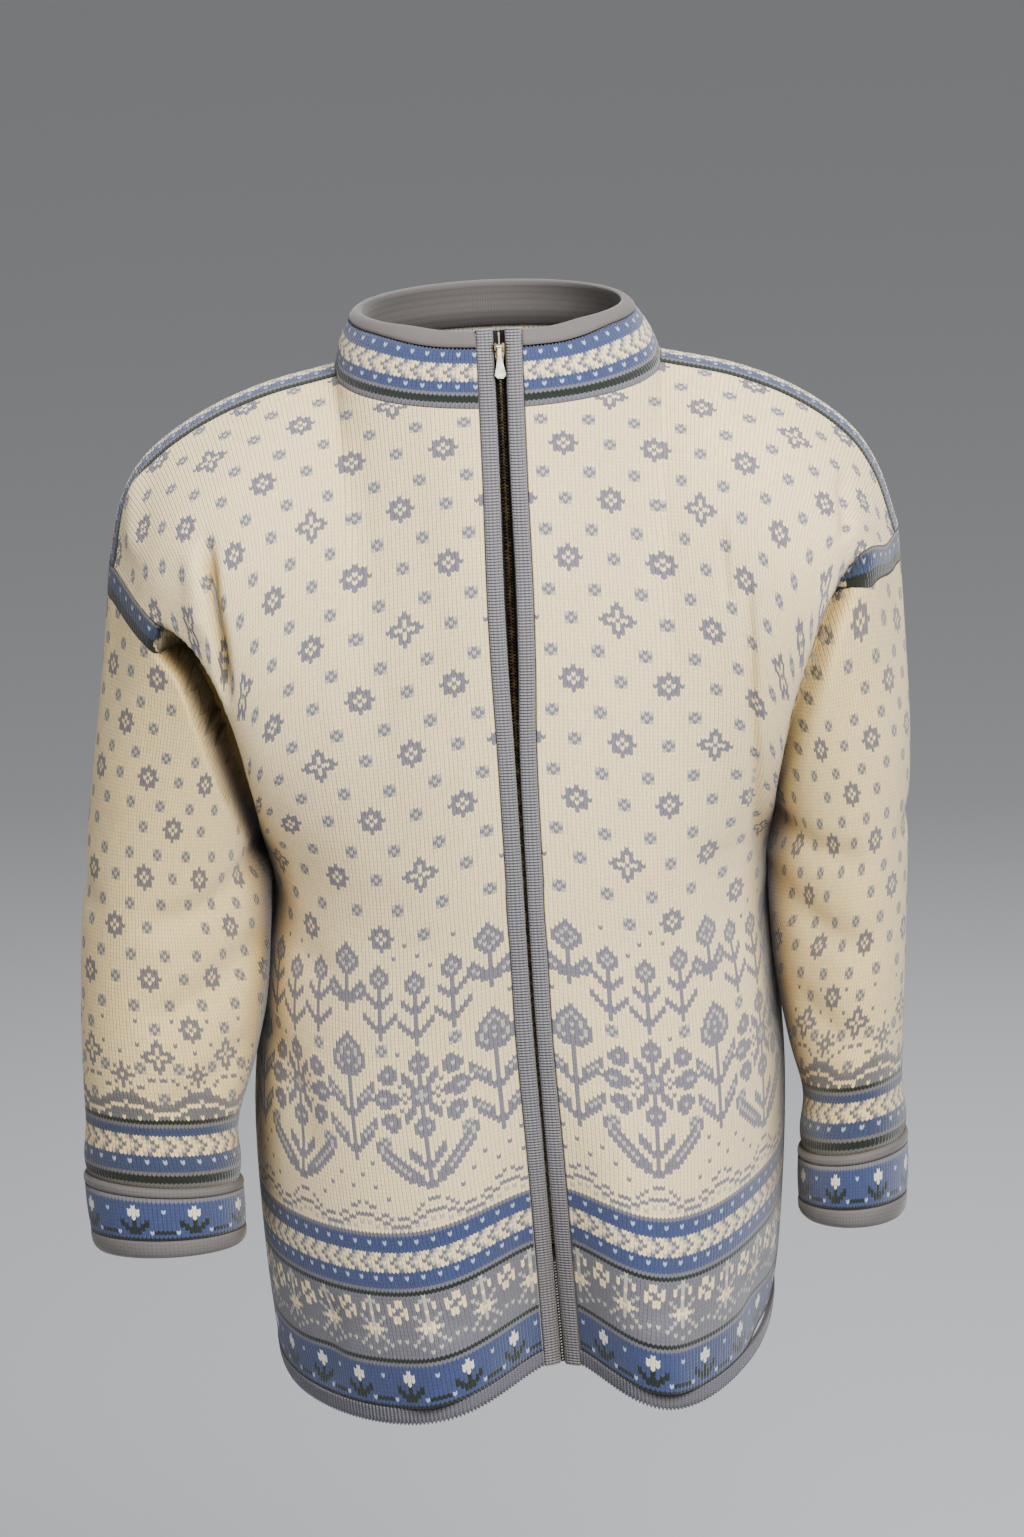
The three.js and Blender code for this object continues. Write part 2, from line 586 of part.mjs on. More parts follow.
for (const side of [-1, 1]) {
  const name = side < 0 ? 'right' : 'left';
  const seam = bindingSeam(side);
  const path = seam.map((p) => {
    const centre = read(ZIP, 'z', 'x', p.z);
    const fall = 0.08 * read(BODY, 'z', 'valley', Math.min(p.z, UNDERARM));
    return { seam: p, centre, edge: centre + (side * read(ZIP, 'z', 'gap', p.z)) / 2, fall };
  });
  const placket = path.map(({ seam: p, edge, fall }) => {
    const start = p.x - side * SEAM;
    const across = (t, forward) => new THREE.Vector3(mix(start, edge, t), p.y + fall * t - forward, p.z);
    return [across(0, -0.3), across(0.22, PLACKET.crown), across(0.78, PLACKET.crown), across(1, -0.3),
      across(1, -PLACKET.thick), across(0, -PLACKET.thick)];
  });
  const placketOutline = [[0, -0.3], [2.4, 1.1], [8.6, 1.1], [11, -0.3], [11, -4.4], [0, -4.4]];
  add(`placket_${name}`, sweep(placket, placketOutline), COLOURS.lavender);
  const tape = path.map(({ seam: p, centre, edge, fall }) => {
    const front = p.y + PLACKET.thick + TAPE.behind;
    const corner = (x, y) => new THREE.Vector3(x, y, p.z);
    const inner = centre + side * TAPE.split;
    const outer = edge + side * TAPE.reach;
    const near = front + fall;
    const far = front + fall * 0.3;
    return [corner(inner, near), corner(outer, far),
      corner(outer, far + TAPE.thick), corner(inner, near + TAPE.thick)];
  });
  add(`zip_tape_${name}`, sweep(tape, [[0, 0], [9, 0], [9, -1], [0, -1]]), COLOURS.tape);

  // The turned-back cuff: its edge trim, its patterned band and the fold that joins it to the sleeve's end.
  const turns = steps(SEAM_STEPS).slice(0, -1);
  const loop = (around, section) => section.map(([share, out]) => sleevePoint(side, around, share, out));
  const ring = (section) => sweep(turns.map((around) => loop(around, section)));
  const { top, trim, foldStart, sleeveEnd, swell, thick } = CUFF;
  const gap = SEAM / 465;
  const under = swell - thick;
  const trimSection = [[top, under + 0.7], [top, swell - 0.5], [top + 0.005, swell + 0.4],
    [trim, swell], [trim, under]];
  const bandSection = [[trim + gap, under], [trim + gap, swell], [foldStart, swell], [foldStart, under]];
  const foldSection = [[foldStart + gap, under], [foldStart + gap, swell], [0.994, swell], [1, swell - 1.6],
    [1, -1.2], [0.996, -WALL], [sleeveEnd + gap, -WALL], [sleeveEnd + gap, under]];
  add(`cuff_trim_${name}`, ring(trimSection), COLOURS.taupe);
  add(`cuff_band_${name}`, ring(bandSection), COLOURS.blue);
  add(`cuff_fold_${name}`, ring(foldSection), COLOURS.taupe);
}

// ---- the zip's slider and its pull tab ----
function manifoldOf(geometry, position = [0, 0, 0]) {
  const plain = geometry.clone().translate(...position);
  plain.deleteAttribute('normal');
  plain.deleteAttribute('uv');
  const merged = mergeVertices(plain, 1e-4);
  const vertProperties = new Float32Array(merged.attributes.position.array);
  const triVerts = new Uint32Array(merged.index.array);
  return new wasm.Manifold(new wasm.Mesh({ numProp: 3, vertProperties, triVerts }));
}

function geometryOf(manifold) {
  const mesh = manifold.getMesh();
  const geometry = new THREE.BufferGeometry();
  geometry.setAttribute('position', new THREE.BufferAttribute(mesh.vertProperties, 3));
  geometry.setIndex(new THREE.BufferAttribute(mesh.triVerts, 1));
  return geometry;
}

// A flat plate: its outline in X and Z, from y = front to y = back.
function plate(points, front, back) {
  const outline = new THREE.Shape(points.map(([x, z]) => new THREE.Vector2(x, z)));
  const geometry = new THREE.ExtrudeGeometry(outline, { depth: back - front, bevelEnabled: false });
  return geometry.rotateX(Math.PI / 2).translate(0, back, 0);
}

const rod = (radius, half) => new THREE.CylinderGeometry(radius, radius, 2 * half, 16).rotateZ(Math.PI / 2);

// The slider sits between the bindings, square to the line they run along at its height.
const seamRows = bindingSeam(1);
const above = seamRows.findIndex((p) => p.z >= SLIDER.z);
const rise = subtract(seamRows[above], seamRows[above - 1]);
const lean = Math.atan2(rise.y, rise.z);
const zipHead = new THREE.Group();
const headY = seamRows[above].y - (seamRows[above].z - SLIDER.z) * Math.tan(lean);
zipHead.position.set(read(ZIP, 'z', 'x', SLIDER.z), headY, SLIDER.z);
zipHead.rotation.x = -lean;
garment.add(zipHead);

// An outline that is the same on both sides of its middle, from half of its points.
const mirrored = (half) => [...half, ...[...half].reverse().map(([x, z]) => [-x, z])];

const halfHigh = SLIDER.height / 2;
const bodyHalf = [[SLIDER.endWidth / 2, -halfHigh], [SLIDER.topWidth / 2, halfHigh * 0.3],
  [SLIDER.topWidth / 2, halfHigh]];
let slider = manifoldOf(plate(mirrored(bodyHalf), SLIDER.front, SLIDER.back));
for (const side of [-1, 1]) {
  const [near, far] = [side * EAR.near, side * EAR.far];
  const ear = [[near, EAR.foot], [far, EAR.foot], [far, EAR.head], [near, EAR.head]];
  slider = slider.add(manifoldOf(plate(ear, -EAR.reach, SLIDER.front + 1)));
}
slider = slider.subtract(manifoldOf(rod(PIVOT.hole, EAR.far + 1), [0, -PIVOT.forward, PIVOT.up]));
zipHead.add(add('zip_slider', geometryOf(slider), COLOURS.bronze, 0.4, 1));

const pullEnd = PIVOT.up - PULL.length;
const pullHalf = [[PULL.endWidth / 2 - 1.6, pullEnd], [PULL.endWidth / 2, pullEnd + 2],
  [PULL.topWidth / 2, PIVOT.up - 6], [PULL.topWidth / 2, PIVOT.up]];
const pullFront = -PIVOT.forward - PULL.thick / 2;
const pull = manifoldOf(plate(mirrored(pullHalf), pullFront, pullFront + PULL.thick))
  .add(manifoldOf(rod(PIVOT.knuckle, PIVOT.half), [0, -PIVOT.forward, PIVOT.up]))
  .add(manifoldOf(rod(PIVOT.pin, EAR.far), [0, -PIVOT.forward, PIVOT.up]));
zipHead.add(add('zip_pull', geometryOf(pull), COLOURS.bright, 0.3, 1));

export default garment;
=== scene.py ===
"""A zip-up knitted cardigan in colourwork, hollow and in the pose it is worn in.

The garment hangs in the shared frame of its CAD model: +Z up, front to -Y, metres in every mesh. The sizes
below are millimetres. "right" and "left" are the wearer's, so the right side, -1, lies at -X. Each cloth
piece is laid out stitch by stitch: a wale is one column of stitches and a course is one row of them.
"""

import logging
import math
from dataclasses import dataclass, field
from enum import Enum
from functools import partial
from typing import Callable, Sequence

import bmesh
import bpy
import numpy as np
from bpy.types import Material, Mesh, Node, NodeSocket, NodeTree, Object
from mathutils import Matrix, Vector


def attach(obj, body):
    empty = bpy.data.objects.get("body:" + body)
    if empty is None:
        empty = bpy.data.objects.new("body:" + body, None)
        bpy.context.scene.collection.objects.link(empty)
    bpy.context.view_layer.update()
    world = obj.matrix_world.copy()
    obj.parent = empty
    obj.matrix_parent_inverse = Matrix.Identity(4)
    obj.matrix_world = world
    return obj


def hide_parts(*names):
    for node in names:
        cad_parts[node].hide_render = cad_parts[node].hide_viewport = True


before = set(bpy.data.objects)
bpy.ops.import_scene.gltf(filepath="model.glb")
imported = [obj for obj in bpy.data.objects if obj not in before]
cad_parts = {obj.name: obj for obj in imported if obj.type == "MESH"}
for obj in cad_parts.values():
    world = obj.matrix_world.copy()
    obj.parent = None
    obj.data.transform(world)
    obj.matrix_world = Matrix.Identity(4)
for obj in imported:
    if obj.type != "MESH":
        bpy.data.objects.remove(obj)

logging.basicConfig(level=logging.INFO, format="%(message)s")
LOG = logging.getLogger("cardigan")

Array = np.ndarray
MM = 0.001
SIDE_NAME = {-1: "right", 1: "left"}  # the wearer's sides

# ---- driving sizes, as in the CAD model ----
WALL = 2.4  # thickness of the knitted cloth
VALLEY_REACH = {-1: 46.0, 1: 37.0}  # half width of the dip beside the zip, by side
UNDERARM = -318.0  # height of the underarm points
HEM_RIB = 11.0  # depth of the ribbed hem edging
BINDING = 11.0  # width of the bindings along the zip
BINDING_THICK = 4.4
NECK = {"half": 105, "front_y": -88, "back_y": 62, "front_z": -16, "back_z": 6, "share": 0.4}
COLLAR = {"half": 89, "x": -3, "y": -12, "depth": 62, "z": 36, "rise": 5, "bulge": 2.5, "band": 0.74}
CORNER_EASE = 0.12  # share of a panel's top over which its corner at the neck is eased
STRIP = {"front_y": -20, "back_y": 22, "crown": 4}
CUFF = {"top": 0.893, "trim": 0.914, "fold": 0.972, "sleeve_end": 0.985, "swell": 5.2, "thick": 2.6}
LOWER_ROWS, UPPER_ROWS = 10, 9  # rows of the panels' form below and above the underarm
PANEL_TOP = LOWER_ROWS + UPPER_ROWS

# ---- gauge of the knitting ----
WALE = 2.85  # width of a stitch on the body
COURSE = 2.6  # height of a stitch
TOP_COURSE = 270  # courses from the hem rib up to the shoulder seam


class Face(Enum):
    """Which half of the body a panel covers."""

    FRONT = "front"
    BACK = "back"


class Yarn(Enum):
    """The yarns of the colourwork, in the order of the palette."""

    CREAM = 0
    SLATE = 1
    BLUE = 2
    GREEN = 3
    GREY = 4
    WHITE = 5
    SKY = 6
    TAUPE = 7
    LAVENDER = 8
    MIST = 9


YARN_HEX = {
    Yarn.CREAM: "FBE3AF",
    Yarn.SLATE: "7A767F",
    Yarn.BLUE: "3F4A70",
    Yarn.GREEN: "252C25",
    Yarn.GREY: "6E6D74",
    Yarn.WHITE: "E6E2D4",
    Yarn.SKY: "A6B4CC",
    Yarn.TAUPE: "6B6664",
    Yarn.LAVENDER: "84838C",
    Yarn.MIST: "BBB3A6",
}


# ---- small maths ----
def mix(a: Array, b: Array, t: Array) -> Array:
    """Blends from a to b as t goes from 0 to 1."""
    return a + (b - a) * t


def ease(low: float, high: float, x: Array) -> Array:
    """Smooth step from 0 at low to 1 at high."""
    t = np.clip((np.asarray(x, float) - low) / (high - low), 0, 1)
    return t * t * (3 - 2 * t)


def hermite(start: Array, end: Array, start_slope: Array, end_slope: Array, t: Array) -> Array:
    """Cubic through two ends with the given slopes.

    Args:
        start: Value at t = 0.
        end: Value at t = 1.
        start_slope: Slope at the start.
        end_slope: Slope at the end.
        t: Share of the way.

    Returns:
        The curve's value at t.
    """
    t2, t3 = t * t, t * t * t
    return (2 * t3 - 3 * t2 + 1) * start + (t3 - 2 * t2 + t) * start_slope \
        + (3 * t2 - 2 * t3) * end + (t3 - t2) * end_slope


class Table:
    """A short table of sections, read as smooth curves through its named columns."""

    def __init__(self, columns: Sequence[str], rows: Sequence[Sequence[float]]) -> None:
        """Keeps the columns; the first one is the key."""
        self.data = dict(zip(columns, np.array(rows, float).T))
        self.key = self.data[columns[0]]

    def read(self, column: str, at: Array) -> Array:
        """Reads one column.

        Args:
            column: Name of the column.
            at: Key value or values.

        Returns:
            The column's smooth value there.
        """
        key, value = self.key, self.data[column]
        at = np.asarray(at, float)
        i = np.clip(np.searchsorted(key, at, side="right") - 1, 0, len(key) - 2)
        low = np.maximum(np.arange(len(key)) - 1, 0)
        high = np.minimum(np.arange(len(key)) + 1, len(key) - 1)
        slope = (value[high] - value[low]) / (key[high] - key[low])
        span = key[i + 1] - key[i]
        t = np.clip((at - key[i]) / span, 0, 1)
        return hermite(value[i], value[i + 1], slope[i] * span, slope[i + 1] * span, t)


def measured(points: Sequence[Sequence[float]]) -> Array:
    """Share of a path's length at each of its points."""
    length = arc_along(np.array(points, float), 0)
    return length / length[-1]


def point(x: Array, y: Array, z: Array) -> Array:
    """Joins three coordinate arrays into one array of points."""
    return np.stack(np.broadcast_arrays(x, y, z), -1)


# ---- tables of the form: a row for each section ----
BODY = Table(("z", "right", "left", "mid", "front", "back", "square", "zip", "valley"), [
    (-680, 175, 153, 12, 188, 128, 0.04, 15, 68),
    (-600, 182, 164, 13, 182, 130, 0.03, 12, 56),
    (-500, 184, 171, 15, 166, 132, 0.02, 8, 24),
    (-420, 175, 169, 16, 152, 134, 0.01, 4, 6),
    (-365, 166, 164, 17, 148, 137, 0, 3, 0),
    (-336, 165, 165, 18, 149, 139, 0, 2, 0),
    (-318, 169, 169, 18, 149, 140, 0, 2, 0),
])
HEM = Table(("share", "right", "left", "back"), [
    (0, -650, -650, -668), (0.3, -671, -669, -668), (0.65, -674, -660, -667), (1, -672, -650, -664),
])
ZIP = Table(("z", "x", "gap"), [
    (-680, 15, 3), (-600, 12, 2.2), (-500, 8, 2), (-400, 4, 2.2), (-300, 2, 2.4), (-230, 1, 3.4),
    (-180, 1, 6.4), (-130, 1, 7.8), (-60, 1, 6.8), (36, 1, 7.6),
])
SHOULDER_RIDGE = [(105, 0, 0), (154, -12, 0), (194, -30, 2), (226, -55, 5), (243, -82, 5), (255, -122, 3)]
ARMHOLE_LINE = {
    Face.FRONT: [(169, 18, -318), (169, -24, -301), (173, -64, -266), (184, -89, -214), (202, -92, -170),
                 (233, -66, -143)],
    Face.BACK: [(169, 18, -318), (170, 52, -305), (177, 80, -272), (192, 92, -226), (219, 88, -180),
                (243, 62, -146)],
}
SLEEVE_COLUMNS = ("share", "out_x", "out_z", "in_x", "in_z", "y", "front", "back", "lean")
SLEEVE = {
    -1: Table(SLEEVE_COLUMNS, [
        (0, 257, -123, 169, -318, 1, 90, 90, 0), (0.13, 265, -185, 174, -341, -3, 80, 80, 0),
        (0.29, 276, -255, 177, -375, -9, 70, 68, 1), (0.48, 288, -345, 181, -422, -17, 64, 62, 3),
        (0.64, 293, -415, 186, -463, -26, 59, 57, 5), (0.78, 294, -476, 194, -500, -35, 52, 51, 7),
        (0.89, 292, -525, 197, -534, -42, 47, 46, 7), (1, 288, -576, 197, -576, -48, 46, 45, 7),
    ]),
    1: Table(SLEEVE_COLUMNS, [
        (0, 254, -123, 169, -318, 1, 90, 90, 0), (0.13, 257, -185, 173, -341, -2, 82, 82, 0),
        (0.29, 259, -255, 174, -375, -6, 76, 74, 1), (0.48, 255, -340, 176, -422, -12, 72, 70, 3),
        (0.64, 251, -412, 177, -466, -20, 68, 66, 5), (0.78, 247, -472, 181, -497, -28, 61, 59, 7),
        (0.89, 244, -522, 181, -532, -35, 55, 54, 7), (1, 241, -576, 180, -577, -41, 54, 52, 7),
    ]),
}


class GarmentForm:
    """The outer face of every cloth piece, as functions of two shares."""

    def __init__(self) -> None:
        """Measures the shoulder ridge and the armhole seams once."""
        along = measured([(x, z) for x, z, _ in SHOULDER_RIDGE])
        rows = [(a, *row) for a, row in zip(along, SHOULDER_RIDGE)]
        self.ridge = Table(("along", "x", "z", "wide"), rows)
        self.armholes: dict[tuple[Face, int], Table] = {}
        for face, line in ARMHOLE_LINE.items():
            for side in (-1, 1):
                x, y, z = self.strip(side, 1.0, 0.0 if face is Face.FRONT else 1.0)
                points = [*line, (abs(x), y, z)]
                table = [(a, *p) for a, p in zip(measured(points), points)]
                self.armholes[face, side] = Table(("along", "x", "y", "z"), table)

    def strip(self, side: int, along: Array, across: Array) -> Array:
        """A point of the shoulder strip.

        Args:
            side: -1 or 1.
            along: Share from the neck to the sleeve.
            across: Share from the front edge to the back edge.

        Returns:
            The points.
        """
        along, across = np.broadcast_arrays(np.asarray(along, float), np.asarray(across, float))
        drop = STRIP["crown"] * (2 * across - 1) ** 2
        wide = self.ridge.read("wide", along) if side < 0 else 0
        reach = 0.02
        low, high = np.maximum(0, along - reach), np.minimum(1, along + reach)
        dx = self.ridge.read("x", high) - self.ridge.read("x", low)
        dz = self.ridge.read("z", high) - self.ridge.read("z", low)
        length = np.hypot(dx, dz)
        x = self.ridge.read("x", along) + wide + drop * dz / length
        z = self.ridge.read("z", along) - drop * dx / length
        return point(side * x, mix(STRIP["front_y"], STRIP["back_y"], across), z)

    def armhole(self, face: Face, side: int, up: Array) -> Array:
        """A point of the armhole seam, from the underarm, 0, up to the strip, 1."""
        line = self.armholes[face, side]
        return point(side * line.read("x", up), line.read("y", up), line.read("z", up))

    @staticmethod
    def binding_edge(z: Array) -> Array:
        """Distance from the zip's line to the outer edge of a binding."""
        return ZIP.read("gap", z) / 2 + BINDING

    def ring(self, face: Face, side: int, share: Array, z: Array) -> Array:
        """A point on a level ring of the body.

        Args:
            face: Front or back.
            side: -1 or 1.
            share: Share from the binding, or the middle of the back, to the side seam.
            z: Height of the ring.

        Returns:
            The points.
        """
        share, z = np.broadcast_arrays(np.asarray(share, float), np.asarray(z, float))
        half = BODY.read(SIDE_NAME[side], z)
        mid, depth = BODY.read("mid", z), BODY.read(face.value, z)
        centre = BODY.read("zip", z) if face is Face.FRONT else np.zeros_like(z)
        reach = half - side * centre
        start = np.arcsin(self.binding_edge(z) / reach) if face is Face.FRONT else 0 * reach
        angle = mix(start, np.pi / 2, share)
        swell = 1 + BODY.read("square", z) * np.sin(2 * angle) ** 2
        x = reach * np.sin(angle) * swell
        if face is Face.BACK:
            return point(side * x, mid + depth * np.cos(angle) * swell, z)
        fall = BODY.read("valley", z) * np.exp(-((x / VALLEY_REACH[side]) ** 2))
        return point(centre + side * x, mid - depth * np.cos(angle) * swell + fall, z)

    def top(self, face: Face, side: int, share: Array) -> Array:
        """The top edge of a panel: the neckline, then the shoulder.

        Args:
            face: Front or back.
            side: -1 or 1.
            share: Share from the middle to the armhole.

        Returns:
            The points.
        """
        share = np.asarray(share, float)
        edge_of_strip = 0.0 if face is Face.FRONT else 1.0
        edge = self.binding_edge(NECK["front_z"]) + side * ZIP.read("x", NECK["front_z"])
        start = np.arcsin(edge / NECK["half"]) if face is Face.FRONT else 0.0
        angle = mix(start, np.pi / 2, np.clip(share / NECK["share"], 0, 1))
        corner = self.strip(1, 0.0, edge_of_strip)
        lift = np.cos(angle)
        neck = point(side * corner[0] * np.sin(angle), mix(corner[1], NECK[f"{face.value}_y"], lift),
                     mix(corner[2], NECK[f"{face.value}_z"], lift))
        along = np.clip((share - NECK["share"]) / (1 - NECK["share"]), 0, 1)
        return np.where((share > NECK["share"])[..., None], self.strip(side, along, edge_of_strip), neck)

    def eased_top(self, face: Face, side: int, share: Array) -> Array:
        """The top edge with its corner at the neck eased."""
        reach = np.minimum(np.minimum(CORNER_EASE, share), 1 - share)
        return sum(self.top(face, side, share + s * reach) for s in (-1, -0.5, 0, 0.5, 1)) / 5

    def column(self, face: Face, side: int, share: Array, up: Array) -> Array:
        """A plain column of the yoke, before its edges are fitted.

        Args:
            face: Front or back.
            side: -1 or 1.
            share: Share from the middle to the side seam.
            up: Share from the underarm's level to the top.

        Returns:
            The points.
        """
        back = 1 if face is Face.FRONT else -1
        start = self.ring(face, side, share, UNDERARM)
        end = self.eased_top(face, side, share)
        length = np.linalg.norm(end - start, axis=-1)
        over = ease(0.1, 0.5, share)
        lean_y, lean_z = back * mix(0.3, 0.8, over) * length, mix(0.95, 0.6, over) * length
        return point(hermite(start[..., 0], end[..., 0], 0, side * 0.1 * over * length, up),
                     hermite(start[..., 1], end[..., 1], 0, lean_y, up),
                     hermite(start[..., 2], end[..., 2], length, lean_z, up))

    def yoke(self, face: Face, side: int, share: Array, up: Array) -> Array:
        """A point of a panel above the underarm's level.

        Args:
            face: Front or back.
            side: -1 or 1.
            share: Share from the middle to the armhole.
            up: Share from the underarm's level to the top.

        Returns:
            The points.
        """
        share, up = np.broadcast_arrays(np.asarray(share, float), np.asarray(up, float))
        p = self.column(face, side, share, up)
        corner = self.top(face, side, share) - self.eased_top(face, side, share)
        p = p + corner * (up ** 3)[..., None]
        one = np.ones_like(up)
        edge = self.armhole(face, side, up) - self.column(face, side, one, up)
        p = p + edge * ease(0.25, 1, share)[..., None]
        if face is Face.FRONT:
            first = self.column(face, side, 0 * one, up)
            wanted = ZIP.read("x", first[..., 2]) + side * self.binding_edge(first[..., 2])
            p[..., 0] += (wanted - first[..., 0]) * (1 - ease(0, 0.4, share))
        return p

    def foot(self, face: Face, side: int, share: Array) -> Array:
        """Height of the lower edge of a panel's rib.

        Args:
            face: Front or back.
            side: -1 or 1.
            share: Share from the middle to the side seam.

        Returns:
            The height.
        """
        if face is Face.FRONT:
            return HEM.read(SIDE_NAME[side], share)
        step = HEM.read(SIDE_NAME[side], 1.0) - HEM.read("back", 1.0)
        return HEM.read("back", share) + step * ease(0.3, 1, share)

    def rib(self, face: Face, side: int, share: Array, height: Array) -> Array:
        """A point of the hem rib, at a height above its lower edge."""
        return self.ring(face, side, share, self.foot(face, side, share) + height)

    def panel(self, face: Face, side: int, share: Array, row: Array) -> Array:
        """A point of a front or back panel.

        Args:
            face: Front or back.
            side: -1 or 1.
            share: Share from the middle to the side seam.
            row: Row of the form, from 0 at the rib to PANEL_TOP at the shoulder.

        Returns:
            The points.
        """
        share, row = np.broadcast_arrays(np.asarray(share, float), np.asarray(row, float))
        foot = self.foot(face, side, share)
        z = mix(foot + HEM_RIB, UNDERARM, np.clip(row / LOWER_ROWS, 0, 1))
        low = self.ring(face, side, share, z)
        high = self.yoke(face, side, share, np.clip((row - LOWER_ROWS) / UPPER_ROWS, 0, 1))
        return np.where((row > LOWER_ROWS)[..., None], high, low)

    def sleeve_ring(self, side: int, around: Array, share: Array, swell: Array = 0.0) -> Array:
        """A point of the sleeve's own rings.

        Args:
            side: -1 or 1.
            around: Share of a turn, forwards from the outer line.
            share: Share from the shoulder to the hand.
            swell: How far outside the ring.

        Returns:
            The points.
        """
        read = SLEEVE[side].read
        angle = 2 * np.pi * np.asarray(around, float)
        half_x = (read("in_x", share) - read("out_x", share)) / 2
        half_z = (read("in_z", share) - read("out_z", share)) / 2
        grow = 1 + swell / np.hypot(half_x, half_z)
        depth = np.where(np.sin(angle) > 0, read("front", share), read("back", share))
        dy = -(depth + swell) * np.sin(angle)
        x = read("out_x", share) + half_x - half_x * grow * np.cos(angle)
        slope = np.tan(np.radians(read("lean", share)))
        z = read("out_z", share) + half_z - half_z * grow * np.cos(angle) - dy * slope
        return point(side * x, read("y", share) + dy, z)

    def armhole_ring(self, side: int, around: Array) -> Array:
        """The whole armhole seam, from the middle of the strip forwards and round.

        Args:
            side: -1 or 1.
            around: Share of a turn, forwards from the middle of the shoulder strip.

        Returns:
            The points.
        """
        step = np.asarray(around, float) * 20 % 20
        front = self.armhole(Face.FRONT, side, np.clip(1 - (step - 1) / 9, 0, 1))
        back = self.armhole(Face.BACK, side, np.clip((step - 10) / 9, 0, 1))
        first = self.strip(side, 1.0, np.clip(0.5 - 0.5 * step, 0, 1))
        last = self.strip(side, 1.0, np.clip(1 - 0.5 * (step - 19), 0, 1))
        chosen = np.where((step < 10)[..., None], front, back)
        chosen = np.where((step < 1)[..., None], first, chosen)
        return np.where((step > 19)[..., None], last, chosen)

    def sleeve(self, side: int, around: Array, share: Array) -> Array:
        """A point of the sleeve, which meets the armhole seam at share 0.

        Args:
            side: -1 or 1.
            around: Share of a turn, forwards from the outer line.
            share: Share from the armhole seam to the sleeve's end.

        Returns:
            The points.
        """
        around, share = np.broadcast_arrays(np.asarray(around, float), np.asarray(share, float))
        ring = self.sleeve_ring(side, around, share * CUFF["sleeve_end"])
        away = self.armhole_ring(side, around) - self.sleeve_ring(side, around, 0.0)
        return ring + away * (1 - ease(0, 0.3, share))[..., None]

    def collar(self, turn: Array, height: Array, inset: float = 0.0) -> Array:
        """A point of the collar.

        Args:
            turn: From -1 at the right front, through 0 at the middle of the back, to 1 at the left front.
            height: Share from the neckline to the top edge.
            inset: How far inside the outer face.

        Returns:
            The points.
        """
        turn, height = np.broadcast_arrays(np.asarray(turn, float), np.asarray(height, float))
        halves = []
        for side in (-1, 1):
            f = 1 - np.abs(turn)
            step = f * 10
            front = self.top(Face.FRONT, side, np.clip(step / 4, 0, 1) * NECK["share"])
            over = self.strip(side, 0.0, np.clip((step - 4) / 2, 0, 1))
            back = self.top(Face.BACK, side, np.clip(1 - (step - 6) / 4, 0, 1) * NECK["share"])
            foot = np.where((step < 4)[..., None], front, np.where((step < 6)[..., None], over, back))
            edge = self.binding_edge(COLLAR["z"]) + side * ZIP.read("x", COLLAR["z"])
            angle = mix(np.arcsin(edge / COLLAR["half"]), np.pi, f)
            x = side * COLLAR["half"] * np.sin(angle) + COLLAR["x"] * ease(0, 0.3, f)
            top = point(x, COLLAR["y"] - COLLAR["depth"] * np.cos(angle),
                        COLLAR["z"] - COLLAR["rise"] * np.cos(angle))
            p = mix(foot, top, height[..., None])
            out = point(p[..., 0] * np.clip(step, 0, 1), p[..., 1] - COLLAR["y"], 0 * f)
            out = out / np.linalg.norm(out, axis=-1, keepdims=True)
            lift = COLLAR["bulge"] * np.sin(np.pi * np.clip(height, 0, 1)) - inset
            halves.append(p + out * lift[..., None])
        return np.where((turn < 0)[..., None], halves[0], halves[1])


# ---- stitches ----
@dataclass
class StitchMap:
    """Wale and course numbers over a fine grid of the two shares that a form function takes."""

    across: Array
    along: Array
    wale: Array
    course: Array

    def locate(self, wales: Array, courses: Array) -> tuple[Array, Array]:
        """Finds where stitches lie.

        Args:
            wales: Wale number of each column of points.
            courses: Course numbers of each column's points, one row a column.

        Returns:
            The shares across and along, held at the piece's edges.
        """
        lines = range(len(self.along))
        across = np.stack([np.interp(wales, self.wale[:, k], self.across) for k in lines], 1)
        course = np.stack([np.interp(across[:, k], self.across, self.course[:, k]) for k in lines], 1)
        along, found = self._read(courses, course, across)
        # past the piece's edge every column takes the same points, so that the cloth closes up there
        level, level_found = self._read(np.ceil(courses), course, across)
        past = np.minimum(found, level_found) >= self.across[-1]
        past |= np.maximum(found, level_found) <= self.across[0]
        return found, np.where(past, level, along)

    def _read(self, courses: Array, course: Array, across: Array) -> tuple[Array, Array]:
        """Shares along and across at course numbers, given the course and the share along each column.

        Args:
            courses: Course numbers wanted, one row a column.
            course: Course number along each column.
            across: Share across along each column.

        Returns:
            The shares along and across.
        """
        rising = course[0, -1] > course[0, 0]
        order = slice(None) if rising else slice(None, None, -1)
        along = np.stack([np.interp(c, line[order], self.along[order]) for c, line in zip(courses, course)])
        return along, np.stack([np.interp(a, self.along, line) for a, line in zip(along, across)])


def arc_along(points: Array, axis: int) -> Array:
    """Cumulative length of a grid of points along one axis."""
    steps = np.linalg.norm(np.diff(points, axis=axis), axis=-1)
    return np.insert(np.cumsum(steps, axis=axis), 0, 0, axis=axis)


def leg_lattice(chart: "Chart") -> tuple[Array, Array]:
    """Numbers the points of V-shaped stitches: two columns a wale, the middle one lower.

    Args:
        chart: Chart that the stitches follow.

    Returns:
        Wale number of each column, and course numbers of each column's points.
    """
    wales = np.arange(2 * chart.first_wale, 2 * chart.last_wale + 1) / 2
    courses = np.arange(chart.first_course, chart.last_course + 1, dtype=float)
    middle = (np.arange(len(wales)) % 2)[:, None]
    return wales, courses[None, :] - V_DEPTH * middle


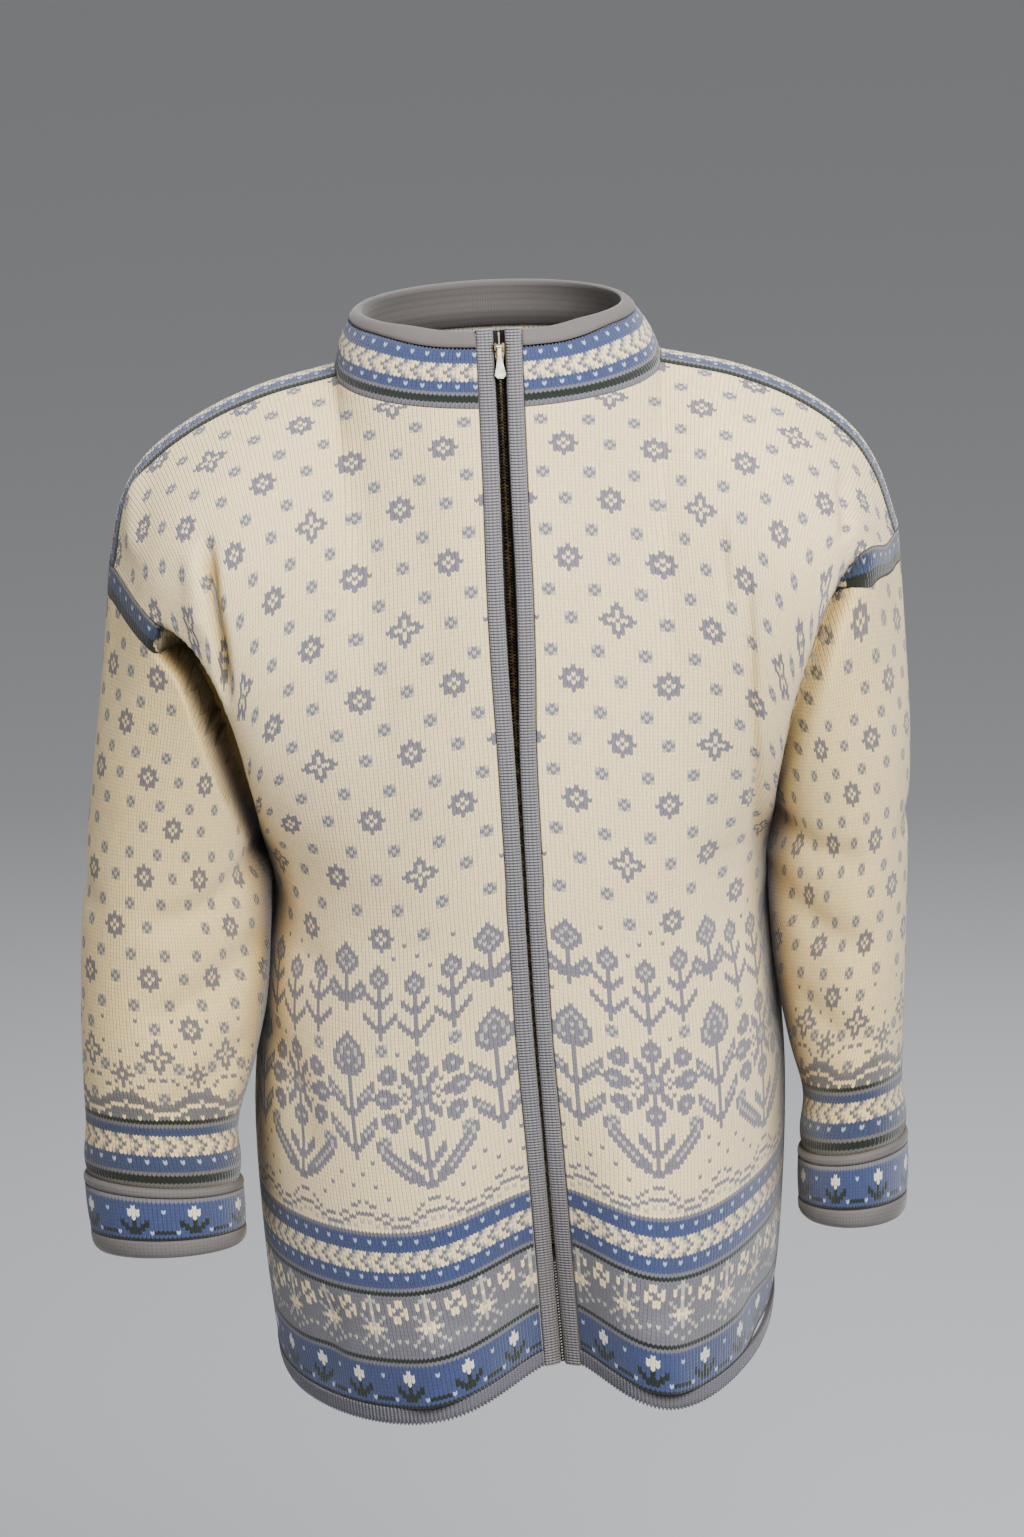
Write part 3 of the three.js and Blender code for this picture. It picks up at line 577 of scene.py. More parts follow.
def behind_legs(wales: Array) -> Array:
    """How far each column of points lies behind the legs of the stitches."""
    return LEG_RELIEF * (np.round(wales * 2) % 2)[:, None]


def spread_wales(fine: Array, line: Array) -> tuple[int, Array]:
    """Fits whole wales along a line.

    Args:
        fine: Shares along the line.
        line: The line's points at those shares.

    Returns:
        How many wales fit, and the share at every half wale.
    """
    length = arc_along(line, 0)
    count = round(length[-1] / WALE)
    return count, np.interp(np.arange(2 * count + 1) / 2 / count * length[-1], length, fine)


def corners_of(grid: Array) -> Array:
    """The four corners of every cell of a grid, in order round it."""
    return np.stack([grid[:-1, :-1], grid[1:, :-1], grid[1:, 1:], grid[:-1, 1:]], -1)


V_DEPTH = 0.5  # how far the middle of a stitch hangs below its sides, in courses
LEG_RELIEF = 0.22  # how far the middle of a wale lies behind its legs
INNER_YARN = Yarn.MIST  # what the floats behind the stitches look like together
INNER_STEP = (8, 4)  # columns and courses that share one face inside the cloth
WELD = 0.02  # mm within which two points are one


@dataclass
class Chart:
    """A colourwork chart: the yarn of every stitch, by course and wale."""

    first_wale: int
    last_wale: int
    first_course: int
    last_course: int
    base: Yarn = Yarn.CREAM
    cells: Array = field(init=False)

    def __post_init__(self) -> None:
        """Fills the chart with its base yarn."""
        shape = (self.last_course - self.first_course, self.last_wale - self.first_wale)
        self.cells = np.full(shape, self.base.value, int)

    def rows(self, low: int, high: int, yarn: Yarn) -> None:
        """Knits the courses from low up to but not including high in one yarn."""
        low, high = (max(0, c - self.first_course) for c in (low, high))
        self.cells[low:high] = yarn.value

    def put(self, wale: int, course: int, yarn: Yarn) -> None:
        """Knits one stitch, if it lies on the chart.

        Args:
            wale: Wale of the stitch.
            course: Course of the stitch.
            yarn: Its yarn.
        """
        row, column = course - self.first_course, wale - self.first_wale
        if 0 <= row < self.cells.shape[0] and 0 <= column < self.cells.shape[1]:
            self.cells[row, column] = yarn.value

    def dots(self, course: int, step: int, yarn: Yarn, phase: int = 0) -> None:
        """Knits single stitches along a course."""
        for wale in range(self.first_wale + (phase - self.first_wale) % step, self.last_wale, step):
            self.put(wale, course, yarn)

    def stamp(self, motif: "Motif", wale: int, course: int) -> None:
        """Knits a motif with its middle at a stitch.

        Args:
            motif: What to knit.
            wale: Wale of its middle.
            course: Course of its middle.
        """
        rows = motif.full()
        for i, line in enumerate(rows):
            for j, letter in enumerate(line):
                if letter != ".":
                    at = course + len(rows) // 2 - i
                    self.put(wale + j - len(line) // 2, at, LETTERS[letter])

    def repeat(self, motif: "Motif", step: int, course: int, phase: int = 0) -> None:
        """Knits a motif again and again along a course."""
        for k in range((self.first_wale - phase) // step - 1, (self.last_wale - phase) // step + 2):
            self.stamp(motif, phase + k * step, course)

    def clear(self, wale: int, course: int, reach: int) -> bool:
        """Tells whether a stitch has only base yarn around it.

        Args:
            wale: Wale of the stitch.
            course: Course of the stitch.
            reach: How many stitches around it are looked at.

        Returns:
            Whether the ground is bare.
        """
        row, column = course - self.first_course, wale - self.first_wale
        rows, columns = (slice(max(0, at - reach), max(0, at + reach + 1)) for at in (row, column))
        return bool((self.cells[rows, columns] == self.base.value).all())

    def bands(self, low: int, bands: Sequence[tuple[int, Yarn]], dotted: Sequence[int] = ()) -> None:
        """Knits bands one above another, with a vine along each cream one.

        Args:
            low: Lowest course.
            bands: Number of courses and yarn of each band, from the lowest.
            dotted: Courses with a pale stitch at every fourth wale.
        """
        for count, yarn in bands:
            self.rows(low, low + count, yarn)
            if yarn is Yarn.CREAM:
                self.repeat(VINE, 4, low + count // 2)
            low += count
        for course in dotted:
            self.dots(course, 4, Yarn.SKY)

    def legs(self) -> Array:
        """The yarn of every leg of a stitch, by column and course: two columns a wale."""
        return np.repeat(self.cells.T, 2, axis=0)


LETTERS = {"x": Yarn.SLATE, "c": Yarn.CREAM, "b": Yarn.BLUE, "g": Yarn.GREEN, "e": Yarn.GREY, "w": Yarn.WHITE,
           "s": Yarn.SKY, "m": Yarn.MIST}


@dataclass(frozen=True)
class Motif:
    """A small chart, its top line first. A half motif ends at its middle stitch and is mirrored there."""

    lines: str
    half: bool = False

    def full(self) -> list[str]:
        """The lines of the whole motif."""
        lines = self.lines.split()
        return [line + line[-2::-1] for line in lines] if self.half else lines


ROSETTE = Motif("...x .xxx .xxc xxcx .xxc .xxx ...x", half=True)
STAR = Motif("....x ...xx ...xc .xxxc xxccx .xxxc ...xc ...xx ....x", half=True)
DIAMOND = Motif("mxm xmx mxm")
BURST = Motif("...x .x.x ..xx xxxc ..xx .x.x ...x", half=True)
VINE = Motif("ccme eccm mecc eccm ccme")
BUD = Motif("...w ..ww ..wc ...w g..g ggbg .ggg ..gg", half=True)
DASH = Motif("ggggg")
PINWHEEL = Motif(".cc.. .cc.c c..cc cc..c c.cc. ..cc.")
RAYS = Motif("m..m .m.m ..cm mccc ..cm .m.m m..m", half=True)
BELL = Motif("..m .mm c.m c.m ..c", half=True)
WHEEL = Motif("""
    ............x ...........xx ..........xxx ....xx....xmx ...xxxx...xxx ..xxmxx.x..xx ..xxxxx.xx..x
    ...xxx..xxx.x .......x.xx.x ..xxx.....xxx .xxxxxx.x.xxm xxmmxxxx.xxmm .xxxxxx.x.xxm ..xxx.....xxx
    .......x.xx.x ...xxx..xxx.x ..xxxxx.xx..x ..xxmxx.x..xx ...xxxx...xxx ....xx....xmx ..........xxx
    ...........xx xx..........x xxx.........x xmxx....x...x .xmxx...xx..x .xxmxx..xxx.x ..xxmxx..xx.x
    ...xxmxx..xxx ....xxmxx..xx .....xxmxx..x ......xxxxx.x .......xxxx.x .........xxxx ...........xx
    """, half=True)
TULIP = Motif("""
    ......x .....xx ....xxm ...xxmx ...xmxx ..xxmxm ..xmxxx ..xmxxm ..xxmxx ...xxxx ....xxx ......x x.....x
    xx....x xmx...x .xmx..x .xxmx.x ..xxx.x ...xx.x ....xxx .....xx x.....x xx....x xmx...x .xmx..x
    .xxmx.x ..xxx.x ...xx.x ....xxx .....xx ......x ......x
    """, half=True)
SPRAY = Motif("""
    ....x ...xx ..xxm ..xmx ..xxm ...xx ....x .x..x .xx.x ..xxx ...xx ....x x...x xx..x .xx.x ..xxx ...xx
    ....x ....x
    """, half=True)
CROWN = Motif("""
    ......x .....xx ....xxm ...xxmx ...xmxx ...xxmx ....xxm .....xx ......x ..x...x .xxx..x .xmxx.x .xxmxxx
    ..xxxxx ....xxx ......x ......x
    """, half=True)


@dataclass(frozen=True)
class Cut:
    """The flat size that a cloth piece is knitted or cut to, in millimetres."""

    width: float
    length: float
    area: float

    @classmethod
    def of_sheet(cls, points: Array) -> "Cut":
        """Measures a lattice of points: its widest row, its longest column and its area.

        Args:
            points: Points of the sheet, columns by rows.

        Returns:
            The flat size.
        """
        down, up = points[1:, 1:] - points[:-1, :-1], points[1:, :-1] - points[:-1, 1:]
        area = np.linalg.norm(np.cross(down, up), axis=-1).sum() / 2
        return cls(arc_along(points, 0)[-1].max(), arc_along(points, 1)[:, -1].max(), area)

    @classmethod
    def of_form(cls, surface: Callable[[Array, Array], Array], limits: Sequence[float]) -> "Cut":
        """Measures the smooth form that a piece is knitted to.

        Args:
            surface: Form function of two shares.
            limits: Lowest and highest share across, lowest and highest share along.

        Returns:
            The flat size.
        """
        across, along = np.linspace(*limits[:2], 81), np.linspace(*limits[2:], 121)
        return cls.of_sheet(surface(across[:, None], along[None, :]))

    @classmethod
    def of_sweep(cls, loops: Array, closed: bool = False) -> "Cut":
        """Measures a folded strip from the loops round its section: half its surface is the cloth.

        Args:
            loops: Points of the strip, by loop and corner.
            closed: Whether the last loop joins the first.

        Returns:
            The flat size.
        """
        loops = np.concatenate([loops, loops[:, :1]], 1)
        if closed:
            loops = np.concatenate([loops, loops[:1]], 0)
        whole = cls.of_sheet(loops)
        return cls(whole.length / 2, whole.width, whole.area / 2)

    def fuller(self, share: float) -> "Cut":
        """The cut of a ribbed piece, which draws in to this much of its flat width."""
        return Cut(self.width / share, self.length, self.area / share)

    @classmethod
    def joined(cls, cuts: Sequence["Cut"]) -> "Cut":
        """The cut of pieces knitted in one, side by side."""
        return cls(sum(c.width for c in cuts), max(c.length for c in cuts), sum(c.area for c in cuts))

    def hang(self, obj: Object, carriers: Sequence[str]) -> None:
        """Logs the flat size of a piece.

        Args:
            obj: The piece.
            carriers: Not used.
        """
        LOG.info("%s: flat %.0f x %.0f mm, %.0f cm2", obj.name, self.width, self.length, self.area / 100)


class ClothMesh:
    """Turns a lattice of points into a closed cloth of one thickness, a face for each leg of a stitch."""

    def __init__(self, name: str, wall: float = WALL) -> None:
        """Starts an empty cloth.

        Args:
            name: Name of the piece.
            wall: Thickness of the cloth.
        """
        self.name = name
        self.wall = wall
        self.verts: list[Array] = []
        self.corners: list[Array] = []
        self.totals: list[Array] = []
        self.uvs: list[Array] = []
        self.yarns: list[Array] = []
        self.numbers: list[Array] = []
        self.inner: list[Array] = []
        self.count = 0

    def add(self, points: Array, normals: Array, yarn: Array, uv: tuple[Array, Array]) -> None:
        """Adds a sheet.

        Args:
            points: Outer face, an array of columns by rows of points.
            normals: Outward directions at the points.
            yarn: Yarn number of each face, columns by rows.
            uv: Stitch numbers of the columns and of the rows.
        """
        columns, rows = points.shape[:2]
        flat = points.reshape(-1, 3)
        cells = np.round(flat / WELD).astype(np.int64)
        first, weld = np.unique(cells, axis=0, return_index=True, return_inverse=True)[1:]
        outer, out = flat[first], normals.reshape(-1, 3)[first]
        lattice = corners_of(np.arange(columns * rows).reshape(columns, rows)).reshape(-1, 4)
        colour = yarn.reshape(-1).astype(float)
        ids = weld.reshape(-1)[lattice]
        # a face whose corners have run together is a triangle, or is left out
        good = ids != np.roll(ids, -1, axis=1)
        keep = (good.sum(1) >= 3) & (ids[:, 0] != ids[:, 2]) & (ids[:, 1] != ids[:, 3])
        ids, good, lattice, colour = ids[keep], good[keep], lattice[keep], colour[keep]
        quad = outer[ids]
        facing = np.cross(quad[:, 2] - quad[:, 0], quad[:, 3] - quad[:, 1])
        if (facing * out[ids[:, 0]]).sum() < 0:
            ids, lattice = ids[:, ::-1], lattice[:, ::-1]
            good = ids != np.roll(ids, -1, axis=1)
        size, totals, lat = len(outer), good.sum(1), lattice[good]
        start, end = ids[good], np.roll(ids, -1, axis=1)[good]
        # an edge that no other face runs back along is the cloth's edge
        lone = ~np.isin(end * size + start, start * size + end)
        rim = np.stack([end[lone], start[lone], start[lone] + size, end[lone] + size], 1)
        rim_lat = np.repeat(lat[lone], 4)
        rim_colour = colour[np.repeat(np.arange(len(ids)), totals)[lone]]
        back, back_lat = ids[:, ::-1] + size, lattice[:, ::-1]
        back_good = back != np.roll(back, -1, axis=1)
        uv_u, uv_v = np.repeat(uv[0], rows), np.tile(uv[1], columns)
        self.verts += [outer, outer - out * self.wall]
        for corners, lattices, total, colours in (
                (start, lat, totals, colour),
                (back[back_good], back_lat[back_good], back_good.sum(1), 0 * colour + INNER_YARN.value),
                (rim.reshape(-1), rim_lat, np.full(len(rim), 4), rim_colour)):
            self.corners.append(corners + self.count)
            self.totals.append(total)
            self.uvs.append(np.stack([uv_u[lattices], uv_v[lattices]], -1))
            self.yarns.append(colours)
        number = np.stack(np.unravel_index(first, (columns, rows)), -1)
        self.numbers += [number, number]
        self.inner += [np.zeros(size, bool), np.ones(size, bool)]
        self.count += 2 * size

    def make(self, material: Material, thin_inside: bool = True) -> Object:
        """Makes the object.

        Args:
            material: Finish of the cloth.
            thin_inside: Whether the inner face gets larger faces.

        Returns:
            The new object.
        """
        mesh = smooth_mesh(self.name, *(np.concatenate(x) for x in (self.verts, self.corners, self.totals)))
        set_stitches(mesh, np.concatenate(self.uvs), np.concatenate(self.yarns))
        if thin_inside:
            self._thin_inside(mesh)
        mesh.validate()
        return dressed(mesh, material)

    def _thin_inside(self, mesh: Mesh) -> None:
        """Dissolves most edges of the inner face, which has no stitches to show.

        Args:
            mesh: The cloth's mesh.
        """
        number = np.concatenate(self.numbers).tolist()
        inner = np.concatenate(self.inner).tolist()
        bm = bmesh.new()
        bm.from_mesh(mesh)
        gone = []
        for edge in bm.edges:
            a, b = edge.verts[0].index, edge.verts[1].index
            if not (inner[a] and inner[b]) or len(edge.link_faces) != 2:
                continue
            if not all(inner[v.index] for face in edge.link_faces for v in face.verts):
                continue
            along = number[a][0] == number[b][0] and number[a][0] % INNER_STEP[0]
            across = number[a][1] == number[b][1] and number[a][1] % INNER_STEP[1]
            if along or across:
                gone.append(edge)
        bmesh.ops.dissolve_edges(bm, edges=gone, use_verts=True)
        bm.to_mesh(mesh)
        bm.free()


STITCH_UV = "Stitch"
YARN_ATTRIBUTE = "yarn"


def normals_of(surface: Callable[[Array, Array], Array], a: Array, b: Array, limits: Sequence[float],
               centre: Array) -> Array:
    """Outward directions on a surface of two shares.

    Args:
        surface: Form function of the two shares.
        a: Shares across.
        b: Shares along.
        limits: Lowest and highest a, lowest and highest b.
        centre: A point inside the piece, or one for each point.

    Returns:
        Unit directions, pointing away from the centre over most of the piece.
    """
    da, db = (limits[1] - limits[0]) * 2e-3, (limits[3] - limits[2]) * 2e-3
    run_a = surface(np.minimum(a + da, limits[1]), b) - surface(np.maximum(a - da, limits[0]), b)
    run_b = surface(a, np.minimum(b + db, limits[3])) - surface(a, np.maximum(b - db, limits[2]))
    normal = np.cross(run_a, run_b)
    normal /= np.maximum(np.linalg.norm(normal, axis=-1, keepdims=True), 1e-9)
    away = (normal * (surface(a, b) - centre)).sum(-1)
    return normal * (1 if away.sum() > 0 else -1)


# ---- finishes ----
def linear(code: str) -> tuple[float, float, float, float]:
    """Turns an sRGB hex colour into linear light."""
    parts = [int(code[i:i + 2], 16) / 255 for i in (0, 2, 4)]
    return (*(c / 12.92 if c <= 0.04045 else ((c + 0.055) / 1.055) ** 2.4 for c in parts), 1.0)


def add_node(tree: NodeTree, kind: str, inputs: dict | Sequence = (),
             **settings: object) -> Node:
    """Adds a node.

    Args:
        tree: Node tree to add to.
        kind: Type name of the node, without its prefix.
        inputs: What goes into its inputs, in order or by number or name: a value, an output socket, or a
            node for that node's first output.
        settings: The node's properties.

    Returns:
        The new node.
    """
    node = tree.nodes.new(f"ShaderNode{kind}")
    for name, value in settings.items():
        setattr(node, name, value)
    for name, value in inputs.items() if isinstance(inputs, dict) else enumerate(inputs):
        value = value.outputs[0] if isinstance(value, Node) else value
        if isinstance(value, NodeSocket):
            tree.links.new(value, node.inputs[name])
        else:
            node.inputs[name].default_value = value
    return node


def new_material(name: str) -> tuple[Material, NodeTree]:
    """Starts an empty node material.

    Args:
        name: Name of the material.

    Returns:
        The material and its node tree.
    """
    material = bpy.data.materials.new(name)
    material.use_nodes = True
    material.node_tree.nodes.clear()
    return material, material.node_tree


def cords(tree: NodeTree, place: object, count: int, sharpness: float) -> Node:
    """Height of rounded cords side by side, with a groove between each two.

    Args:
        tree: Node tree to add to.
        place: Stitch number across the cords.
        count: Cords to a stitch.
        sharpness: How square the cords are: 1 for arches, less for flatter tops.

    Returns:
        The node that gives the height, from 0 in a groove to 1.
    """
    angle = add_node(tree, "Math", (place, count * math.pi), operation="MULTIPLY")
    wave = add_node(tree, "Math", (angle,), operation="SINE")
    arch = add_node(tree, "Math", (wave,), operation="ABSOLUTE")
    return add_node(tree, "Math", (arch, sharpness), operation="POWER")


def crease_shade(tree: NodeTree) -> Node:
    """Paints shade into cloth by how closed in it is: painted shade, dark olive in a deep fold and none in
    the open.

    Args:
        tree: Node tree to add to.

    Returns:
        The node that gives the tint.
    """
    closed_in = add_node(tree, "AmbientOcclusion", {"Distance": CREASE_REACH}, samples=8)
    ramp = add_node(tree, "ValToRGB", (closed_in.outputs["AO"],))
    deep, open_ = ramp.color_ramp.elements
    deep.position, deep.color = 0.12, linear("5A5038")
    open_.position, open_.color = 0.92, linear("FFFFFF")
    middle = ramp.color_ramp.elements.new(0.5)
    middle.color = linear("D2C8AE")
    return ramp


CREASE_REACH = 0.036  # metres over which cloth shades its neighbour


@dataclass(frozen=True)
class Knit:
    """Wool yarn, soft and matt, with a pale fuzz at grazing angles and painted shade in the grooves between
    its stitches.
    """

    name: str
    colour: str = "FFFFFF"  # of the yarn, or, for colourwork, what all its yarns are multiplied by: painted shade on the sleeves' dimmer copy
    roughness: float = 0.88
    sheen: float = 0.25
    fuzz: float = 0.4  # roughness of the sheen
    depth: float = 0.25  # height of the stitches, mm
    strength: float = 0.6  # of that relief
    groove: float = 0.25  # painted shade: how much darker the gaps between the stitches are drawn

    def stitches(self, tree: NodeTree) -> tuple[object, object]:
        """Reads the stitch numbers across and along the cloth."""
        split = add_node(tree, "SeparateXYZ", (add_node(tree, "UVMap", uv_map=STITCH_UV),))
        return split.outputs[0], split.outputs[1]

    def dress(self, tree: NodeTree, colour: object, shade: object, relief: object) -> None:
        """Joins colour, relief and sheen in the shader.

        Args:
            tree: Node tree to add to.
            colour: Colour of the yarn.
            shade: What the painted shade in the grooves and the wear make of its brightness.
            relief: Height of the surface, about 0 to 1.
        """
        lit = add_node(tree, "VectorMath", {0: colour, "Scale": shade}, operation="SCALE")
        # painted shade from ambient occlusion: dark olive in folds and where pieces close in
        crease_shaded = add_node(tree, "VectorMath", (lit, crease_shade(tree)), operation="MULTIPLY")
        bump = add_node(tree, "Bump", {"Strength": self.strength, "Distance": self.depth * MM,
                                       "Height": relief})
        shader = add_node(tree, "BsdfPrincipled", {
            "Base Color": crease_shaded, "Roughness": self.roughness, "IOR": 1.45, "Sheen Weight": self.sheen,
            "Sheen Roughness": self.fuzz, "Specular IOR Level": 0.25, "Normal": bump})
        add_node(tree, "OutputMaterial", (shader,))


@dataclass(frozen=True)
class WoolKnit(Knit):
    """Stockinette of fine lambswool: soft, matt and slightly hairy, each stitch two leaning legs."""

    roughness: float = 0.92
    sheen: float = 0.28
    fuzz: float = 0.45
    depth: float = 0.7
    strength: float = 0.75
    groove: float = 0.55

    def make(self) -> Material:
        """Builds the material.

        Returns:
            The material.
        """
        material, tree = new_material(self.name)
        across, along = self.stitches(tree)
        # two legs a wale, each rounded across and pinched where the next course passes through it, with the
        # deepest gap between one wale and the next
        column = add_node(tree, "Math", (cords(tree, across, 1, 0.6), 0.55), operation="MULTIPLY")
        leg = add_node(tree, "Math", (cords(tree, across, 2, 0.6), 0.45, column), operation="MULTIPLY_ADD")
        link = add_node(tree, "Math", (cords(tree, along, 1, 0.45), 0.45, 0.55), operation="MULTIPLY_ADD")
        stitch = add_node(tree, "Math", (leg, link), operation="MULTIPLY")
        # painted shade: the gaps between legs and wales are drawn darker
        floor = 1 - self.groove * 0.75
        shade = add_node(tree, "Math", (stitch, self.groove, floor), operation="MULTIPLY_ADD")
        # stray fibres about 1 mm apart, and patches a hand wide that are a little more worn
        place = add_node(tree, "TexCoord").outputs["Object"]
        fibre = add_node(tree, "TexNoise", {"Vector": place, "Scale": 900.0, "Detail": 2.0})
        cloud = add_node(tree, "TexNoise", {"Vector": place, "Scale": 14.0, "Detail": 2.0})
        wear = add_node(tree, "MapRange", {0: cloud, "To Min": 0.94, "To Max": 1.05})
        fluff = add_node(tree, "MapRange", {0: fibre, "To Min": 0.9, "To Max": 1.1})
        worn = add_node(tree, "Math", (shade, wear), operation="MULTIPLY")
        value = add_node(tree, "Math", (worn, fluff), operation="MULTIPLY")
        hair = add_node(tree, "Math", (fibre, 0.35), operation="MULTIPLY")
        relief = add_node(tree, "Math", (stitch, hair), operation="ADD")
        self.dress(tree, self._colour(tree, across, along), value, relief)
        return material

    def _colour(self, tree: NodeTree, across: object, along: object) -> Node:
        """The yarn's colour, with each stitch a little lighter or darker than the next.

        Args:
            tree: Node tree to add to.
            across: Stitch number across.
            along: Stitch number along.

        Returns:
            The node that gives the colour.
        """
        ramp = add_node(tree, "ValToRGB", (
            add_node(tree, "Attribute", attribute_name=YARN_ATTRIBUTE).outputs["Fac"],))
        ramp.color_ramp.interpolation = "CONSTANT"
        stops = ramp.color_ramp.elements
        for i, yarn in enumerate(Yarn):
            stop = stops[i] if i < 2 else stops.new(i / len(Yarn))
            stop.position = i / len(Yarn)
            # each yarn times self.colour, which on the sleeves' copy is painted shade
            stop.color = [a * b for a, b in zip(linear(YARN_HEX[yarn]), linear(self.colour))]
        halves = add_node(tree, "Math", (across, 2.0), operation="MULTIPLY")
        cell = add_node(tree, "CombineXYZ", (add_node(tree, "Math", (halves,), operation="FLOOR"),
                                             add_node(tree, "Math", (along,), operation="FLOOR")))
        grain = add_node(tree, "TexWhiteNoise", {"Vector": cell}, noise_dimensions="2D")
        level = add_node(tree, "MapRange", {0: grain, "To Min": 0.93, "To Max": 1.05})
        return add_node(tree, "VectorMath", {0: ramp, "Scale": level}, operation="SCALE")


@dataclass(frozen=True)
class RibbedKnit(Knit):
    """A close knitted rib, binding or tape in one yarn, smoother than the body."""

    def make(self) -> Material:
        """Builds the material.

        Returns:
            The material.
        """
        material, tree = new_material(self.name)
        across, along = self.stitches(tree)
        stitch = add_node(tree, "Math", (cords(tree, across, 1, 0.5), cords(tree, along, 1, 0.5)),
                          operation="MULTIPLY")
        # fibres under 1 mm apart, and worn patches 40 mm wide
        place = add_node(tree, "TexCoord").outputs["Object"]
        cloud = add_node(tree, "TexNoise", {"Vector": place, "Scale": 25.0, "Detail": 3.0})
        fibre = add_node(tree, "TexNoise", {"Vector": place, "Scale": 1400.0, "Detail": 2.0})
        wear = add_node(tree, "MapRange", {0: cloud, "To Min": 0.9, "To Max": 1.08})
        # painted shade in the grooves between the cords
        shade = add_node(tree, "Math", (stitch, self.groove, 1.05 - self.groove), operation="MULTIPLY_ADD")
        value = add_node(tree, "Math", (shade, wear), operation="MULTIPLY")
        relief = add_node(tree, "Math", (fibre, 0.3, stitch), operation="MULTIPLY_ADD")
        base = add_node(tree, "RGB")
        base.outputs[0].default_value = linear(self.colour)
        self.dress(tree, base, value, relief)
        return material


@dataclass(frozen=True)
class CastMetal:
    """A small die-cast or stamped zip part: plating worn in patches about 3 mm wide."""

    name: str
    colour: str
    worn: str  # colour where the plating is rubbed
    roughness: float = 0.35

    def make(self) -> Material:
        """Builds the material.

        Returns:
            The material.
        """
        material, tree = new_material(self.name)
        place = add_node(tree, "TexCoord").outputs["Object"]
        patch = add_node(tree, "TexNoise", {"Vector": place, "Scale": 300.0, "Detail": 4.0})
        ramp = add_node(tree, "ValToRGB", (patch,))
        low, high = ramp.color_ramp.elements
        low.position, low.color = 0.4, linear(self.colour)
        high.position, high.color = 0.72, linear(self.worn)
        rough = add_node(tree, "MapRange", {0: patch, "To Min": self.roughness - 0.08,
                                            "To Max": self.roughness + 0.15})
        bump = add_node(tree, "Bump", {"Strength": 0.25, "Distance": 0.05 * MM, "Height": patch})
        shader = add_node(tree, "BsdfPrincipled", {"Base Color": ramp, "Metallic": 1.0, "Roughness": rough,
                                                   "Normal": bump})
        add_node(tree, "OutputMaterial", (shader,))
        return material


# lambswool knitted in stockinette: matt and slightly hairy, its stitches in rows of small leaning legs
COLOURWORK = WoolKnit("Lambswool_Colourwork")
# the sleeves' copy, every yarn dimmed: painted shade for the sleeves, which stand in less light
SHADED_SLEEVE_COLOURWORK = WoolKnit("Lambswool_Colourwork_Painted_Shade", "F2ECDA")
# harder wool yarn knitted in a close rib: clear cords with painted shade in the grooves
BINDING_KNIT = RibbedKnit("Lavender_Grey_Binding", "93929C", depth=0.6, groove=0.6)
HEM_KNIT = RibbedKnit("Grey_Hem_Rib", "787783", depth=0.6, groove=0.55)
# fine plain knitting, nearly smooth, and woven polyester tape, duller and without fuzz
FACING_KNIT = RibbedKnit("Taupe_Fine_Knit", YARN_HEX[Yarn.TAUPE], depth=0.15)
TAPE_WEAVE = RibbedKnit("Dark_Zip_Tape", "1E1B1B", roughness=0.8, sheen=0.08)
# stamped brass and die-cast zinc under an aged plating, and a nickel-plated pull rubbed brighter
BRASS = CastMetal("Antique_Brass_Teeth", "2E2418", "6E5936")
BRONZE = CastMetal("Bronzed_Slider", "4A3E30", "8A7554")
BRIGHT = CastMetal("Nickel_Pull", "8F8A80", "C9C4B8", roughness=0.3)


# ---- pieces ----
GARMENT_BODY = "garment"


@dataclass
class Fold:
    """A soft trough, or a ridge where its depth is negative, along a line laid over a surface."""

    line: list[tuple[float, float]]  # mm, in the plane that the piece is folded in
    width: float
    depth: float
    fade: float = 0.25  # share of the length over which each end dies out

    def depth_at(self, x: Array, y: Array) -> Array:
        """How deep the trough is at points of the plane.

        Args:
            x: Places across the plane.
            y: Places up the plane.

        Returns:
            The depths.
        """
        total = 0.0
        best = np.full(np.shape(x), 1e9)
        share = np.zeros(np.shape(x))
        lengths = [math.dist(a, b) for a, b in zip(self.line, self.line[1:])]
        for (x0, y0), (x1, y1), length in zip(self.line, self.line[1:], lengths):
            t = np.clip(((x - x0) * (x1 - x0) + (y - y0) * (y1 - y0)) / length ** 2, 0, 1)
            gap = np.hypot(x - x0 - t * (x1 - x0), y - y0 - t * (y1 - y0))
            closer = gap < best
            best = np.where(closer, gap, best)
            share = np.where(closer, (total + t * length) / sum(lengths), share)
            total += length
        ends = ease(0, self.fade, share) * ease(0, self.fade, 1 - share)
        return self.depth * ends * np.exp(-((best / self.width) ** 2))


def fold_depth(folds: Sequence[Fold], x: Array, y: Array) -> Array:
    """Sum of the depths of several folds."""
    return sum((fold.depth_at(x, y) for fold in folds), np.zeros(np.shape(x)))


def declare(obj: Object, nodes: Sequence[str], cut: Cut | None = None,
            carriers: Sequence[str] = ()) -> None:
    """Says what a piece is.

    Args:
        obj: The piece, which rides on the garment.
        nodes: CAD nodes that it stands for.
        cut: Flat size of a piece of cloth.
        carriers: CAD nodes that the cloth hangs from.
    """
    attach(obj, GARMENT_BODY)
    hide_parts(*nodes)
    if cut is not None:
        cut.hang(obj, carriers)
    tris = sum(len(p.vertices) - 2 for p in obj.data.polygons)
    LOG.info("%s: %d triangles", obj.name, tris)


